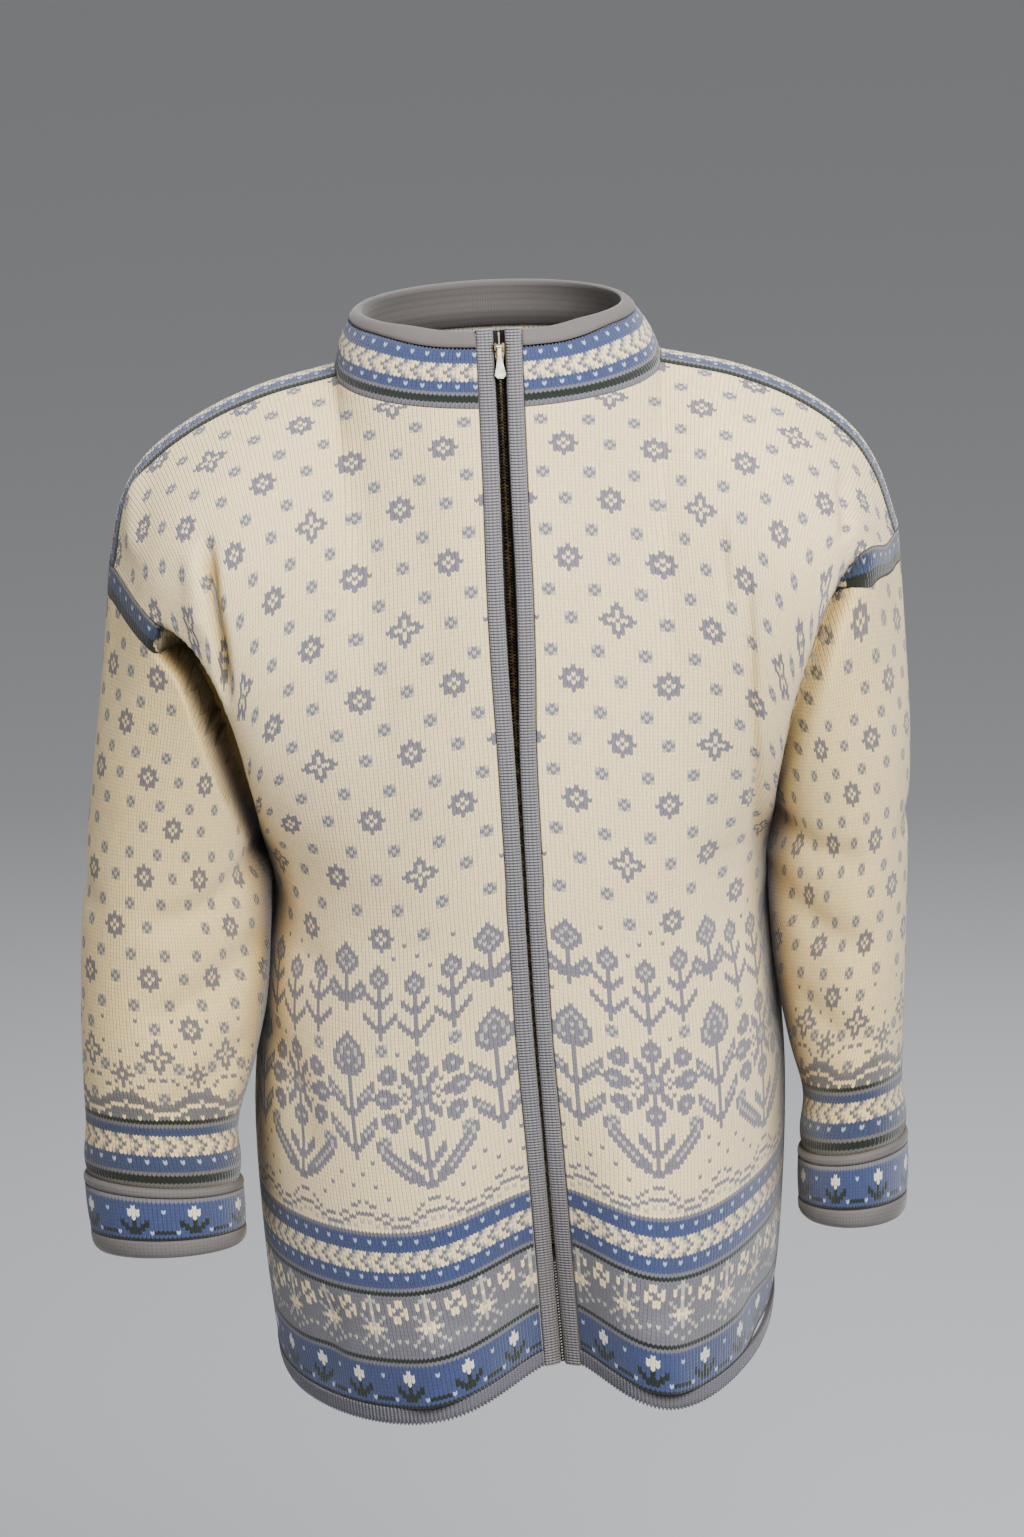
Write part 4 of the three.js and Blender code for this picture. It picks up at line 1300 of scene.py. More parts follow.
def body_bands(chart: Chart, phase: int) -> None:
    """Knits the bands along the hem, up from the rib, then the flowered border.

    Args:
        chart: Chart of a body panel.
        phase: Wale of the middle of one repeat.
    """
    chart.bands(0, ((1, Yarn.GREEN), (10, Yarn.BLUE), (1, Yarn.GREY), (1, Yarn.GREEN), (16, Yarn.GREY),
                    (1, Yarn.GREEN), *BANNER), dotted=(33, 42))
    flowered_band(chart, 5, phase)
    half = BAND_REPEAT // 2
    chart.repeat(PINWHEEL, BAND_REPEAT, 24, phase)
    chart.repeat(RAYS, BAND_REPEAT, 20, phase + half)
    chart.repeat(BELL, BAND_REPEAT, 26, phase + half)
    for wale in range(chart.first_wale, chart.last_wale):
        if wale % 2:
            wave = math.cos(2 * math.pi * (wale - phase) / BAND_REPEAT)
            chart.put(wale, round(16.0 + 1.5 * wave), Yarn.MIST)
    border(chart, phase)


def flowered_band(chart: Chart, course: int, phase: int) -> None:
    """Knits small upright buds on leaves, with a dark dash and a pale stitch between them.

    Args:
        chart: Chart to knit on.
        course: Middle course of the buds.
        phase: Wale of the middle of one bud.
    """
    half = BAND_REPEAT // 2
    chart.repeat(BUD, BAND_REPEAT, course, phase)
    chart.repeat(DASH, BAND_REPEAT, course - 3, phase + half)
    for off, up in ((half, 3), (-4, -3), (4, -3)):
        chart.dots(course + up, BAND_REPEAT, Yarn.SKY, phase + off)


def border(chart: Chart, phase: int) -> None:
    """Knits the flowered border: wheels and tulips on leafy stems over a waved line, with sprays between.

    Args:
        chart: Chart of a body panel.
        phase: Wale of the middle of one wheel.
    """
    half, quarter = BORDER_REPEAT // 2, BORDER_REPEAT // 4
    for wale in range(chart.first_wale, chart.last_wale):
        wave = math.cos(2 * math.pi * (wale - phase) / half)
        chart.put(wale, round(47.5 + 1.8 * wave), Yarn.SLATE)
        if wale % 4:
            chart.put(wale, round(49.8 + 2.2 * wave), Yarn.SLATE)
        if wale % 2:
            chart.put(wale, round(45.9 + 0.8 * wave), Yarn.MIST)
    chart.repeat(WHEEL, BORDER_REPEAT, 72, phase)
    chart.repeat(TULIP, BORDER_REPEAT, 78, phase + half)
    chart.repeat(SPRAY, BORDER_REPEAT, 100, phase)
    for side in (-1, 1):
        chart.repeat(SPRAY, BORDER_REPEAT, 102, phase + half + side * 9)
        chart.repeat(DIAMOND, BORDER_REPEAT, 67, phase + half + side * 8)
    chart.repeat(CROWN, BORDER_REPEAT, 108, phase + half)
    chart.repeat(DIAMOND, half, 90, phase + quarter)


def scatter(chart: Chart) -> None:
    """Knits single stitches wherever the border leaves the ground bare.

    Args:
        chart: Chart of a body panel.
    """
    for course in range(53, 118, 3):
        for wale in range(chart.first_wale - chart.first_wale % 6, chart.last_wale, 6):
            at = wale + (3 if course % 2 else 0)
            if chart.clear(at, course, 2):
                chart.put(at, course, Yarn.SLATE)


BANNER = ((1, Yarn.GREY), (4, Yarn.BLUE), (5, Yarn.CREAM), (4, Yarn.BLUE), (1, Yarn.GREY))


BAND_REPEAT = 14  # wales in a repeat of the hem's bands
BORDER_REPEAT = 36  # wales in a repeat of the flowered border


def lattice(chart: Chart, first: int, top: int, low: int, across: int, down: int,
            stars_everywhere: bool) -> None:
    """Knits the lattice of rosettes and stars, with a small diamond at every other point.

    Args:
        chart: Chart to knit on.
        first: Wale of a rosette.
        top: Course of a rosette, near the top.
        low: Course below which nothing is knitted.
        across: Wales between neighbouring columns of the lattice.
        down: Courses between neighbouring lines of the lattice.
        stars_everywhere: Whether the rosettes' own columns hold stars too.
    """
    columns = range((chart.first_wale - first) // across - 1, (chart.last_wale - first) // across + 2)
    lines = range((top - chart.last_course) // down - 1, (top - low) // down + 2)
    for a in columns:
        for b in lines:
            wale, course = first + a * across, top - b * down
            if course >= low:
                if a % 2 == 0:
                    star = stars_everywhere and (a // 2 + b // 2) % 2
                else:
                    star = not stars_everywhere and ((b + 1) // 2 + (a - 1) // 2) % 2 == 0
                stamp_clear(chart, DIAMOND if (a + b) % 2 else STAR if star else ROSETTE, wale, course)
            if course - down / 2 >= low:
                stamp_clear(chart, DIAMOND, wale + (across + 1) // 2, course - (down + 1) // 2)


def stamp_clear(chart: Chart, motif: Motif, wale: int, course: int) -> None:
    """Knits a motif unless it would touch another one."""
    if chart.clear(wale, course, len(motif.full()) // 2 + 1):
        chart.stamp(motif, wale, course)


class BodyMap:
    """Where the stitches of the fronts and the back lie."""

    NECK_WALES = 32  # wales along the neckline of a half panel
    YOKE_WALE = 3.05  # width of a stitch at the shoulders, where the cloth spreads
    NECK_DROP = 21  # courses by which the neckline is cut below the shoulder
    CROWDED, CROWD_REACH = 8, 40  # courses taken up where the cloth turns over the shoulder, over how many mm

    def __init__(self, form: GarmentForm) -> None:
        """Keeps the form."""
        self.form = form

    def of(self, face: Face, side: int) -> StitchMap:
        """Numbers the stitches of one half panel.

        Args:
            face: Front or back.
            side: -1 or 1.

        Returns:
            The map from stitches to shares.
        """
        across, along = np.linspace(0, 1, 81), np.linspace(0, PANEL_TOP, 191)
        points = self.form.panel(face, side, across[:, None], along[None, :])
        round_, up = arc_along(points, 0), arc_along(points, 1)
        wale = round_ / mix(WALE, self.YOKE_WALE, ease(11, 17, along))[None, :]
        edge = GarmentForm.binding_edge(NECK["front_z"]) / NECK["half"]
        start = math.asin(edge) if face is Face.FRONT else 0
        neck = NECK["share"]
        angle = mix(start, np.pi / 2, np.clip(across / neck, 0, 1))
        at_neck = self.NECK_WALES * (np.sin(angle) - math.sin(start)) / (1 - math.sin(start))
        past = (round_[:, -1] - np.interp(neck, across, round_[:, -1])) / self.YOKE_WALE
        top_wale = np.where(across <= neck, at_neck, self.NECK_WALES + past)
        wale = mix(wale, top_wale[:, None], ease(12.5, PANEL_TOP, along)[None, :])
        drop = self.NECK_DROP if face is Face.FRONT else self.NECK_DROP * 0.2
        edge = np.where(across <= neck, TOP_COURSE - drop * np.cos(angle) / math.cos(start), TOP_COURSE)
        below = up[:, -1:] - up
        crowd = self.CROWDED * mix(0.6, 1, ease(0, neck, across))[:, None]
        down = edge[:, None] - below / COURSE - crowd * (1 - np.exp(-below / self.CROWD_REACH))
        return StitchMap(across, along, wale, mix(up / COURSE, down, ease(5.5, 16, along)[None, :]))


FRONT_FOLDS: dict[int, list[Fold]] = {
    -1: [
        Fold([(-191, -84), (-188, -130), (-184, -158), (-182, -204)], 4.5, 10.0),
        Fold([(-201, -95), (-199, -135), (-196, -160)], 7.0, -3.0),
        Fold([(-236, -45), (-240, -90), (-241, -118)], 6.0, -3.0),
        Fold([(-168, -330), (-150, -372), (-120, -392)], 13.0, 2.5),
        Fold([(-172, -420), (-150, -470), (-148, -520)], 12.0, 3.0),
        Fold([(-60, -600), (-70, -640), (-74, -675)], 16.0, -4.0),
        Fold([(-135, -590), (-140, -630), (-143, -665)], 10.0, 4.0),
    ],
    1: [
        Fold([(151, -112), (152, -172), (152, -212), (155, -277), (158, -350)], 4.0, 4.5),
        Fold([(137, -92), (138, -150)], 3.5, 2.5),
        Fold([(217, -70), (218, -102), (217, -132)], 4.5, 4.0),
        Fold([(208, -150), (199, -178), (191, -214), (182, -256)], 6.0, 5.0),
        Fold([(160, -350), (164, -409), (168, -470)], 6.0, 4.0),
        Fold([(120, -300), (132, -360), (150, -400)], 11.0, 2.5),
        Fold([(75, -600), (80, -640), (82, -675)], 16.0, -4.0),
        Fold([(140, -590), (146, -630), (150, -665)], 10.0, 4.0),
    ],
}
BACK_FOLDS: list[Fold] = [
    Fold([(-150, -120), (-152, -200), (-156, -290)], 6.0, 4.0),
    Fold([(150, -110), (154, -190), (156, -280)], 6.0, 4.0),
    Fold([(-190, -100), (-186, -160), (-180, -230)], 5.0, 5.0),
    Fold([(192, -100), (187, -165), (181, -235)], 5.0, 5.0),
    Fold([(-60, -250), (0, -275), (62, -255)], 16.0, 3.0),
    Fold([(-110, -420), (-40, -455), (30, -450)], 18.0, 3.0),
    Fold([(40, -380), (100, -400), (150, -380)], 15.0, 3.0),
]
SLEEVE_FOLDS: dict[int, list[Fold]] = {
    -1: [
        Fold([(172, -300), (118, -340), (62, -352)], 11.0, 4.0),
        Fold([(176, -362), (120, -398), (70, -420)], 13.0, 4.5),
        Fold([(165, -430), (118, -466), (80, -480)], 12.0, 3.5),
        Fold([(-60, -300), (0, -330), (50, -342)], 12.0, 2.5),
        Fold([(-170, -310), (-120, -345), (-60, -372)], 13.0, 4.0),
        Fold([(-165, -400), (-110, -430), (-60, -440)], 13.0, 4.0),
    ],
    1: [
        Fold([(172, -290), (122, -318), (70, -330)], 11.0, 4.0),
        Fold([(174, -345), (122, -372), (60, -392)], 13.0, 4.0),
        Fold([(160, -415), (112, -440), (66, -446)], 12.0, 3.0),
        Fold([(-58, -280), (0, -306), (52, -318)], 12.0, 2.5),
        Fold([(-170, -300), (-120, -330), (-60, -352)], 13.0, 4.0),
        Fold([(-165, -380), (-110, -412), (-60, -420)], 13.0, 4.0),
    ],
}


@dataclass(frozen=True)
class SeamFold:
    """The deep fold that the cloth falls into along the lower part of an armhole seam."""

    start: tuple[float, float]  # share of the seam, from the shoulder forwards, over which the fold opens
    depth: float
    middle: float  # distance of the deepest line from the seam, on the sleeve's side, mm
    width: float
    inwards: float = 0.35
    sharp: int = 2  # 2 for a rounded trough, 4 for one with steep sides
    behind: float = 0.6  # depth at the back, as a share of that in front

    def profile(self, away: Array) -> Array:
        """Share of the depth at a distance from the seam, which is negative on the body."""
        return np.exp(-np.abs((away - self.middle) / self.width) ** self.sharp)

    def strength(self, around: Array) -> Array:
        """How much of the fold there is along the seam, from -0.5 behind to 0.5 in front."""
        amount = ease(*self.start, np.abs(around)) * (1 - ease(0.42, 0.5, np.abs(around)))
        return amount * np.where(around < 0, self.behind, 1.0)


SEAM_FOLDS = {
    -1: SeamFold((0.145, 0.19), 50.0, 8.0, 9.5, inwards=0.1, sharp=6),
    1: SeamFold((0.13, 0.182), 15.0, 5.0, 6.5),
}


class Armhole:
    """Sinks the cloth on both sides of an armhole seam, and lifts the seam on the wearer's left shoulder."""

    LIFT_AT, LIFT_REACH, LIFT = np.array([226.0, -74.0, -148.0]), 34.0, 25.0  # the peak of that shoulder, mm
    CHUNK = 20000  # points measured against the seam at a time

    def __init__(self, form: GarmentForm, side: int) -> None:
        """Measures the seam.

        Args:
            form: Form of the garment.
            side: -1 or 1.
        """
        self.side = side
        self.fold = SEAM_FOLDS[side]
        self.around = np.linspace(-0.5, 0.5, 201)
        self.seam = form.armhole_ring(side, self.around)

    def _nearest(self, flat: Array) -> tuple[Array, Array, Array]:
        """Finds the points near the seam.

        Args:
            flat: Points of the cloth, one a row.

        Returns:
            Their numbers, their distances from the seam and their places along it.
        """
        near = np.flatnonzero((flat[:, 0] * self.side > 100) & (flat[:, 2] < -60) & (flat[:, 2] > -400))
        gap, around = np.zeros(len(near)), np.zeros(len(near))
        for part in np.array_split(np.arange(len(near)), max(1, len(near) // self.CHUNK)):
            gaps = np.linalg.norm(flat[near[part], None, :] - self.seam[None, :, :], axis=2)
            gap[part], around[part] = gaps.min(1), self.around[gaps.argmin(1)]
        return near, gap, around

    def crushed(self, points: Array) -> Array:
        """Tells which points of the sleeve go down into the fold, where no motif shows.

        Args:
            points: Points of the sleeve.

        Returns:
            Whether each point goes down.
        """
        flat = points.reshape(-1, 3)
        found = np.zeros(len(flat), bool)
        reach = self.fold.middle + self.fold.width + 3
        near, gap, around = self._nearest(flat)
        found[near] = (self.fold.strength(around) > 0.12) & (gap < reach)
        return found.reshape(points.shape[:-1])

    def sink(self, points: Array, beyond: int) -> Array:
        """Moves points near the seam.

        Args:
            points: Points of the cloth.
            beyond: 1 for the sleeve, -1 for the body.

        Returns:
            The moved points.
        """
        flat = points.reshape(-1, 3).copy()
        near, gap, around = self._nearest(flat)
        sunk = self.fold.depth * self.fold.strength(around) * self.fold.profile(beyond * gap)
        rear = np.where(around < 0, -1.0, 1.0)
        flat[near] += sunk[:, None] * point(-self.side * self.fold.inwards, rear, 0.0)
        if self.side > 0:
            lift = np.exp(-(((flat - self.LIFT_AT) ** 2).sum(1) / self.LIFT_REACH ** 2))
            flat[:, 2] += self.LIFT * lift
        return flat.reshape(points.shape)


@dataclass
class BodyPanels:
    """The two fronts and the back, in colourwork stockinette."""

    form: GarmentForm
    wales: int = 104  # half of the back
    front_wales: int = 110  # a front, at its widest near the hem
    border_phase: int = 22  # wale of a front where a wheel of the border has its middle

    def build(self, knit: Material) -> None:
        """Args:
            knit: Finish.
        """
        for side, name in SIDE_NAME.items():
            chart = Chart(0, self.front_wales, 0, TOP_COURSE + 2)
            self._panel(f"front_{name}", Face.FRONT, [side], chart, (self.border_phase, 8), knit)
        chart = Chart(-self.wales, self.wales, 0, TOP_COURSE + 2)
        self._panel("back", Face.BACK, list(SIDE_NAME), chart, (0, 0), knit)

    def _points(self, face: Face, side: int, wales: Array, courses: Array) -> tuple[Array, Array]:
        """Outer points and outward directions of the stitches of a half panel.

        Args:
            face: Front or back.
            side: -1 or 1.
            wales: Wale of each column.
            courses: Courses of each column's points.

        Returns:
            The points, and a unit direction outwards at each.
        """
        share, row = BodyMap(self.form).of(face, side).locate(wales, courses)
        surface = partial(self.form.panel, face, side)
        points = surface(share, row)
        centre = point(0 * share, 15 + 0 * share, points[..., 2])
        normal = normals_of(surface, share, row, (0, 1, 0, PANEL_TOP), centre)
        folds = FRONT_FOLDS[side] if face is Face.FRONT else BACK_FOLDS
        sink = fold_depth(folds, points[..., 0], points[..., 2]) * (1 - ease(0.93, 1.0, share))
        sink = sink + behind_legs(wales) * (share < 1)
        return Armhole(self.form, side).sink(points - normal * sink[..., None], -1), normal

    def _panel(self, name: str, face: Face, sides: Sequence[int], chart: Chart, middles: tuple[int, int],
               knit: Material) -> None:
        """Args:
            name: CAD node that it stands for.
            face: Front or back.
            sides: The halves that it is made of, -1 and 1.
            chart: Its chart, still plain.
            middles: Wale of the middle of a repeat of the bands, and of a rosette of the lattice.
            knit: Finish.
        """
        body_bands(chart, middles[0])
        lattice(chart, middles[1], TOP_COURSE - 32, 106, 11, 15, stars_everywhere=False)
        scatter(chart)
        wales, courses = leg_lattice(chart)
        halves, cuts = [], []
        for side in sides:
            own = (wales < 0) == (side < 0) if len(sides) > 1 else slice(None)
            halves.append(self._points(face, side, np.abs(wales[own]), courses[own]))
            cuts.append(Cut.of_form(partial(self.form.panel, face, side), (0, 1, 0, PANEL_TOP)))
        points, normal = (np.concatenate(parts) for parts in zip(*halves))
        cloth = ClothMesh(f"Knit_{name}")
        cloth.add(points, normal, chart.legs(), (wales, courses[0]))
        carriers = [f"shoulder_strip_{SIDE_NAME[side]}" for side in sides]
        declare(cloth.make(knit), [name], Cut.joined(cuts), carriers)


@dataclass
class HemRibs:
    """The narrow ribbed edging along the hem."""

    form: GarmentForm
    rib: float = 0.7  # height of a cord of the rib, mm
    drawn_in: float = 0.75  # its width as worn, as a share of its flat width
    steps: int = 6  # faces up the rib
    roll: float = 1.2  # how far the lower edge turns in, mm
    scallop: float = 0.9  # how far each cord hangs below the edge, mm

    def build(self, finish: Material) -> None:
        """Args:
            finish: Finish.
        """
        for side, name in SIDE_NAME.items():
            self._make(f"front_{name}", [(Face.FRONT, side)], finish)
        self._make("back", [(Face.BACK, side) for side in SIDE_NAME], finish)

    def _make(self, panel: str, halves: Sequence[tuple[Face, int]], finish: Material) -> None:
        """Args:
            panel: CAD node of the panel that it edges.
            halves: Face and side of each half.
            finish: Finish.
        """
        cloth = ClothMesh(f"Rib_hem_rib_{panel}")
        cuts = []
        for face, side in halves:
            fine = np.linspace(0, 1, 200)
            length = arc_along(self.form.rib(face, side, fine, 0), 0)
            wales = np.arange(0, 4 * round(length[-1] / WALE) + 1) / 4
            share = np.interp(wales * length[-1] / wales[-1], length, fine)
            height = np.linspace(0, HEM_RIB, self.steps + 1)
            foot = self.form.foot(face, side, share)[:, None]
            surface = partial(self.form.rib, face, side)
            a, b = np.broadcast_arrays(share[:, None], height[None, :])
            normal = normals_of(surface, a, b, (0, 1, 0, HEM_RIB), point(0 * foot, 15, foot))
            wave = np.cos(2 * np.pi * wales)[:, None] + 0 * b
            out = self.rib * wave - self.roll * (1 - ease(0, 3.0, b))
            points = surface(a, b) + normal * out[..., None]
            points[..., 2] -= self.scallop * wave * (1 - ease(0, 4.0, b))
            cells = np.full((len(wales) - 1, self.steps), Yarn.GREY.value)
            cloth.add(points, normal, cells, (wales * 2, np.linspace(0, 7, self.steps + 1)))
            cuts.append(Cut.of_form(surface, (0, 1, 0, HEM_RIB)).fuller(self.drawn_in))
        obj = cloth.make(finish, thin_inside=False)
        declare(obj, [f"hem_rib_{panel}"], Cut.joined(cuts), [panel])


@dataclass
class Sleeves:
    """The two sleeves: a lattice of motifs, bands above the cuff and a band along the armhole seam."""

    form: GarmentForm
    wales: int = 112  # half of the widest round
    band: float = 0.046  # share of the sleeve that the seam's band takes
    band_courses: int = 8
    lattice_top: int = 145
    repeat: int = 20  # wales in a repeat of the sleeve's motifs
    swell: float = 11.0  # how far the cloth swells towards the body below the underarm, mm
    over_cuff: float = 3.6  # how far it bulges over its cuff, mm

    def build(self, knit: Material) -> None:
        """Args:
            knit: Finish.
        """
        for side, name in SIDE_NAME.items():
            cloth = ClothMesh(f"Knit_sleeve_{name}")
            self._main(cloth, side)
            self._seam_band(cloth, side)
            cut = Cut.of_form(partial(self.form.sleeve, side), (-0.5, 0.5, 0, 1))
            carriers = [f"shoulder_strip_{name}", "back"]
            declare(cloth.make(knit), [f"sleeve_{name}"], cut, carriers)

    def chart(self) -> Chart:
        """Knits the chart of a whole sleeve.

        Returns:
            The chart, its course 0 at the edge of the cuff.
        """
        chart = Chart(-self.wales, self.wales, -18, 190)
        chart.bands(-18, ((20, Yarn.GREY), (2, Yarn.GREEN), (1, Yarn.GREY), (4, Yarn.BLUE), (5, Yarn.CREAM),
                          (2, Yarn.BLUE), (1, Yarn.GREY), (1, Yarn.GREEN), (3, Yarn.GREY)), dotted=(7,))
        middle, half = 11, 11 - self.repeat // 2
        for wale in range(chart.first_wale, chart.last_wale):
            wave = math.cos(2 * math.pi * (wale - middle) / self.repeat)
            for course in range(21, round(22.0 - 1.8 * wave) + 1):
                chart.put(wale, course, Yarn.GREY)
            chart.put(wale, round(22.6 - 1.8 * wave), Yarn.SLATE)
            chart.put(wale, round(20.2 - 1.3 * wave), Yarn.CREAM)
            if wale % 3:
                chart.put(wale, round(26.3 + 2.2 * wave), Yarn.SLATE)
            if wale % 4 == 0:
                chart.put(wale, 18, Yarn.CREAM)
        for motif, course, wale in ((DIAMOND, 23, middle), (STAR, 34, middle), (BURST, 29, half),
                                    (DIAMOND, 31, half - 5), (DIAMOND, 31, half + 5)):
            chart.repeat(motif, self.repeat, course, wale)
        for course, wale in ((37, half - 5), (37, half + 5), (43, middle - 5), (43, middle + 5), (35, half)):
            chart.dots(course, self.repeat, Yarn.SLATE, wale)
        lattice(chart, 1, self.lattice_top, 40, 10, 13, stars_everywhere=True)
        return chart

    def _band_at(self, side: int, around: Array) -> Array:
        """Share of the sleeve that the seam's band takes, less where it lies crushed in the fold."""
        return self.band * mix(1.0, 0.3, np.clip(SEAM_FOLDS[side].strength(around), 0, 1))

    def _points(self, side: int, around: Array, share: Array, course: Array) -> tuple[Array, Array]:
        """Outer points and outward directions of a sleeve, which bulges a little over its cuff.

        Args:
            side: -1 or 1.
            around: Shares of a turn, forwards from the outer line.
            share: Shares along the sleeve.
            course: Courses from the edge of the cuff.

        Returns:
            The points, and a unit direction outwards at each.
        """
        surface = partial(self.form.sleeve, side)
        points = surface(around, share)
        middle = (surface(0 * around, share) + surface(0 * around + 0.5, share)) / 2
        normal = normals_of(surface, around, share, (-1, 1, 0, 1), middle)
        # folds are placed by the wale from the outer line, forwards, and the height
        sink = fold_depth(SLEEVE_FOLDS[side], around * 360, points[..., 2])
        sink = sink - self.over_cuff * np.exp(-(((course - 4) / 6) ** 2))
        depth = -points[..., 2]
        inner = np.exp(-(((np.abs(around) - 0.5) / 0.1) ** 2))
        sink = sink - self.swell * inner * ease(300, 338, depth) * (1 - ease(400, 505, depth))
        return Armhole(self.form, side).sink(points - normal * sink[..., None], 1), normal

    def _main(self, cloth: ClothMesh, side: int) -> None:
        """Adds the sleeve below the seam's band.

        Args:
            cloth: Cloth to add to.
            side: -1 or 1.
        """
        across, along = np.linspace(-0.5, 0.5, 121), np.linspace(0.25 * self.band, 1, 141)
        grid = self.form.sleeve(side, across[:, None], along[None, :])
        round_, down = arc_along(grid, 0), arc_along(grid, 1)
        trim = CUFF["top"] / CUFF["sleeve_end"]
        cuff = np.stack([np.interp(trim, along, line) for line in down])
        wale = (round_ - round_[len(across) // 2]) / WALE
        stitch_map = StitchMap(across, along, wale, (cuff[:, None] - down) / COURSE)
        chart = self.chart()
        wales, courses = leg_lattice(chart)
        around, share = stitch_map.locate(wales, courses)
        share = np.maximum(share, self._band_at(side, around))
        points, normal = self._points(side, around, share, courses)
        relief = behind_legs(wales) * (np.abs(around) < 0.5)
        cells = chart.legs()
        if side < 0:
            crushed = Armhole(self.form, side).crushed(self.form.sleeve(side, around, share))
            cells[crushed[:-1, :-1]] = Yarn.CREAM.value
        cloth.add(points - normal * relief[..., None], normal, cells, (wales, courses[0]))

    def _seam_band(self, cloth: ClothMesh, side: int) -> None:
        """Adds the dotted blue band and the dark line that follow the armhole seam.

        Args:
            cloth: Cloth to add to.
            side: -1 or 1.
        """
        fine = np.linspace(-0.5, 0.5, 241)
        count, around = spread_wales(fine, self.form.sleeve(side, fine, self.band / 2))
        chart = Chart(0, count, 0, self.band_courses)
        chart.bands(0, ((3, Yarn.GREEN), (4, Yarn.BLUE), (1, Yarn.GREY)), dotted=(5,))
        wales, courses = leg_lattice(chart)
        courses = np.clip(courses, 0, self.band_courses)
        share = self._band_at(side, around)[:, None] * (1 - courses / self.band_courses)
        around = np.broadcast_to(around[:, None], share.shape)
        points, normal = self._points(side, around, share, 200 + 0 * share)
        lift = 0.35 * np.sin(np.pi * courses / self.band_courses) ** 0.5 - behind_legs(wales)
        cloth.add(points + normal * lift[..., None], normal, chart.legs(), (wales, courses[0]))


@dataclass
class Cuffs:
    """The turned-back cuffs: edge trim, flowered band and the fold at the sleeve's end."""

    form: GarmentForm
    courses: int = 12  # of the flowered band
    gap: float = 0.0006  # share of the sleeve left open between two rings
    length: float = 465.0  # of the sleeve along its middle, mm

    def build(self, knit: Material, trim: Material) -> None:
        """Args:
            knit: Finish of the flowered band.
            trim: Finish of the trim and of the fold.
        """
        top, fold, end = CUFF["top"], CUFF["fold"], CUFF["sleeve_end"]
        edge = mix(top, CUFF["trim"], 0.62)
        swell, under, gap = CUFF["swell"], CUFF["swell"] - CUFF["thick"], self.gap
        trim_section = [(top + 0.002, 0.9), (top - 0.002, 2.0), (top - 0.002, under + 1.2),
                        (top, swell - 0.4), (top + 0.004, swell + 0.3), (mix(top, edge, 0.6), swell + 0.4),
                        (edge - 0.002, swell + 0.1), (edge, swell - 0.6), (edge, under), (edge - 0.004, 1.2)]
        shares = [i / self.courses for i in range(self.courses + 1)]
        rows = [(mix(edge + gap, fold, i), swell + 0.5 * math.sin(math.pi * i)) for i in shares]
        band_section = [(edge + gap, under), *rows, (fold, under)]
        fold_section = [(fold + gap, under), (fold + gap, swell - 0.4), (fold + 0.002, swell + 0.1),
                        (0.98, swell + 0.5), (0.99, swell + 0.2), (0.996, swell - 0.8), (1.0, swell - 2.4),
                        (1.001, 1.0), (0.999, -0.8), (0.996, -WALL), (end + gap, -WALL), (end + gap, under)]
        for side in SIDE_NAME:
            self._ring("cuff_trim", side, trim_section, trim)
            self._ring("cuff_band", side, band_section, knit, self._chart(side))
            self._ring("cuff_fold", side, fold_section, trim)

    def _wales(self, side: int) -> int:
        """Stitches round a cuff, a whole number of repeats."""
        loop = self.form.sleeve_ring(side, np.linspace(0, 1, 121), 0.94, CUFF["swell"])
        return BAND_REPEAT * round(arc_along(loop, 0)[-1] / WALE / BAND_REPEAT)

    def _chart(self, side: int) -> Chart:
        """Knits the flowered band, its first course at the trim.

        Args:
            side: -1 or 1.

        Returns:
            The chart.
        """
        chart = Chart(0, self._wales(side), 0, 14)
        chart.bands(0, ((2, Yarn.GREY), (1, Yarn.GREEN), (10, Yarn.BLUE), (1, Yarn.GREY)))
        flowered_band(chart, 7, BAND_REPEAT // 2)
        chart.cells = chart.cells[::-1]
        return chart

    def _ring(self, part: str, side: int, section: Sequence[tuple[float, float]], finish: Material,
              chart: Chart | None = None) -> None:
        """Args:
            part: CAD node that the ring stands for, without its side.
            side: -1 or 1.
            section: Share along the sleeve and distance outwards of each corner.
            finish: Material.
            chart: Yarns of the outer face, or nothing for a plain ring.
        """
        count, rows = 2 * self._wales(side), len(section)
        around = np.arange(count) / count
        share, out = np.array(section).T
        place = np.repeat(share[None, :], count, 0)
        yarn = np.full((count, rows), Yarn.TAUPE.value)
        steps = np.r_[0, np.cumsum(np.hypot(np.diff(share) * self.length, np.diff(out)))] / COURSE
        numbers = np.r_[steps, steps[-1] + 1]
        if chart is not None:  # V-shaped stitches on the outer face
            place[:, 2:-2] += (np.arange(count) % 2)[:, None] * (share[2] - share[1]) * V_DEPTH
            yarn[:, 1:-2] = chart.legs()[:count, :rows - 3]
            numbers = np.arange(rows + 1)
        loops = self.form.sleeve_ring(side, around[:, None], place, out[None, :])
        name = f"{part}_{SIDE_NAME[side]}"
        mesh = swept_mesh(f"Cuff_{name}", loops, np.arange(count + 1) / 2, numbers, yarn)
        cut = Cut.of_sweep(loops[::2], closed=True)
        declare(dressed(mesh, finish), [name], cut, [f"sleeve_{SIDE_NAME[side]}"])


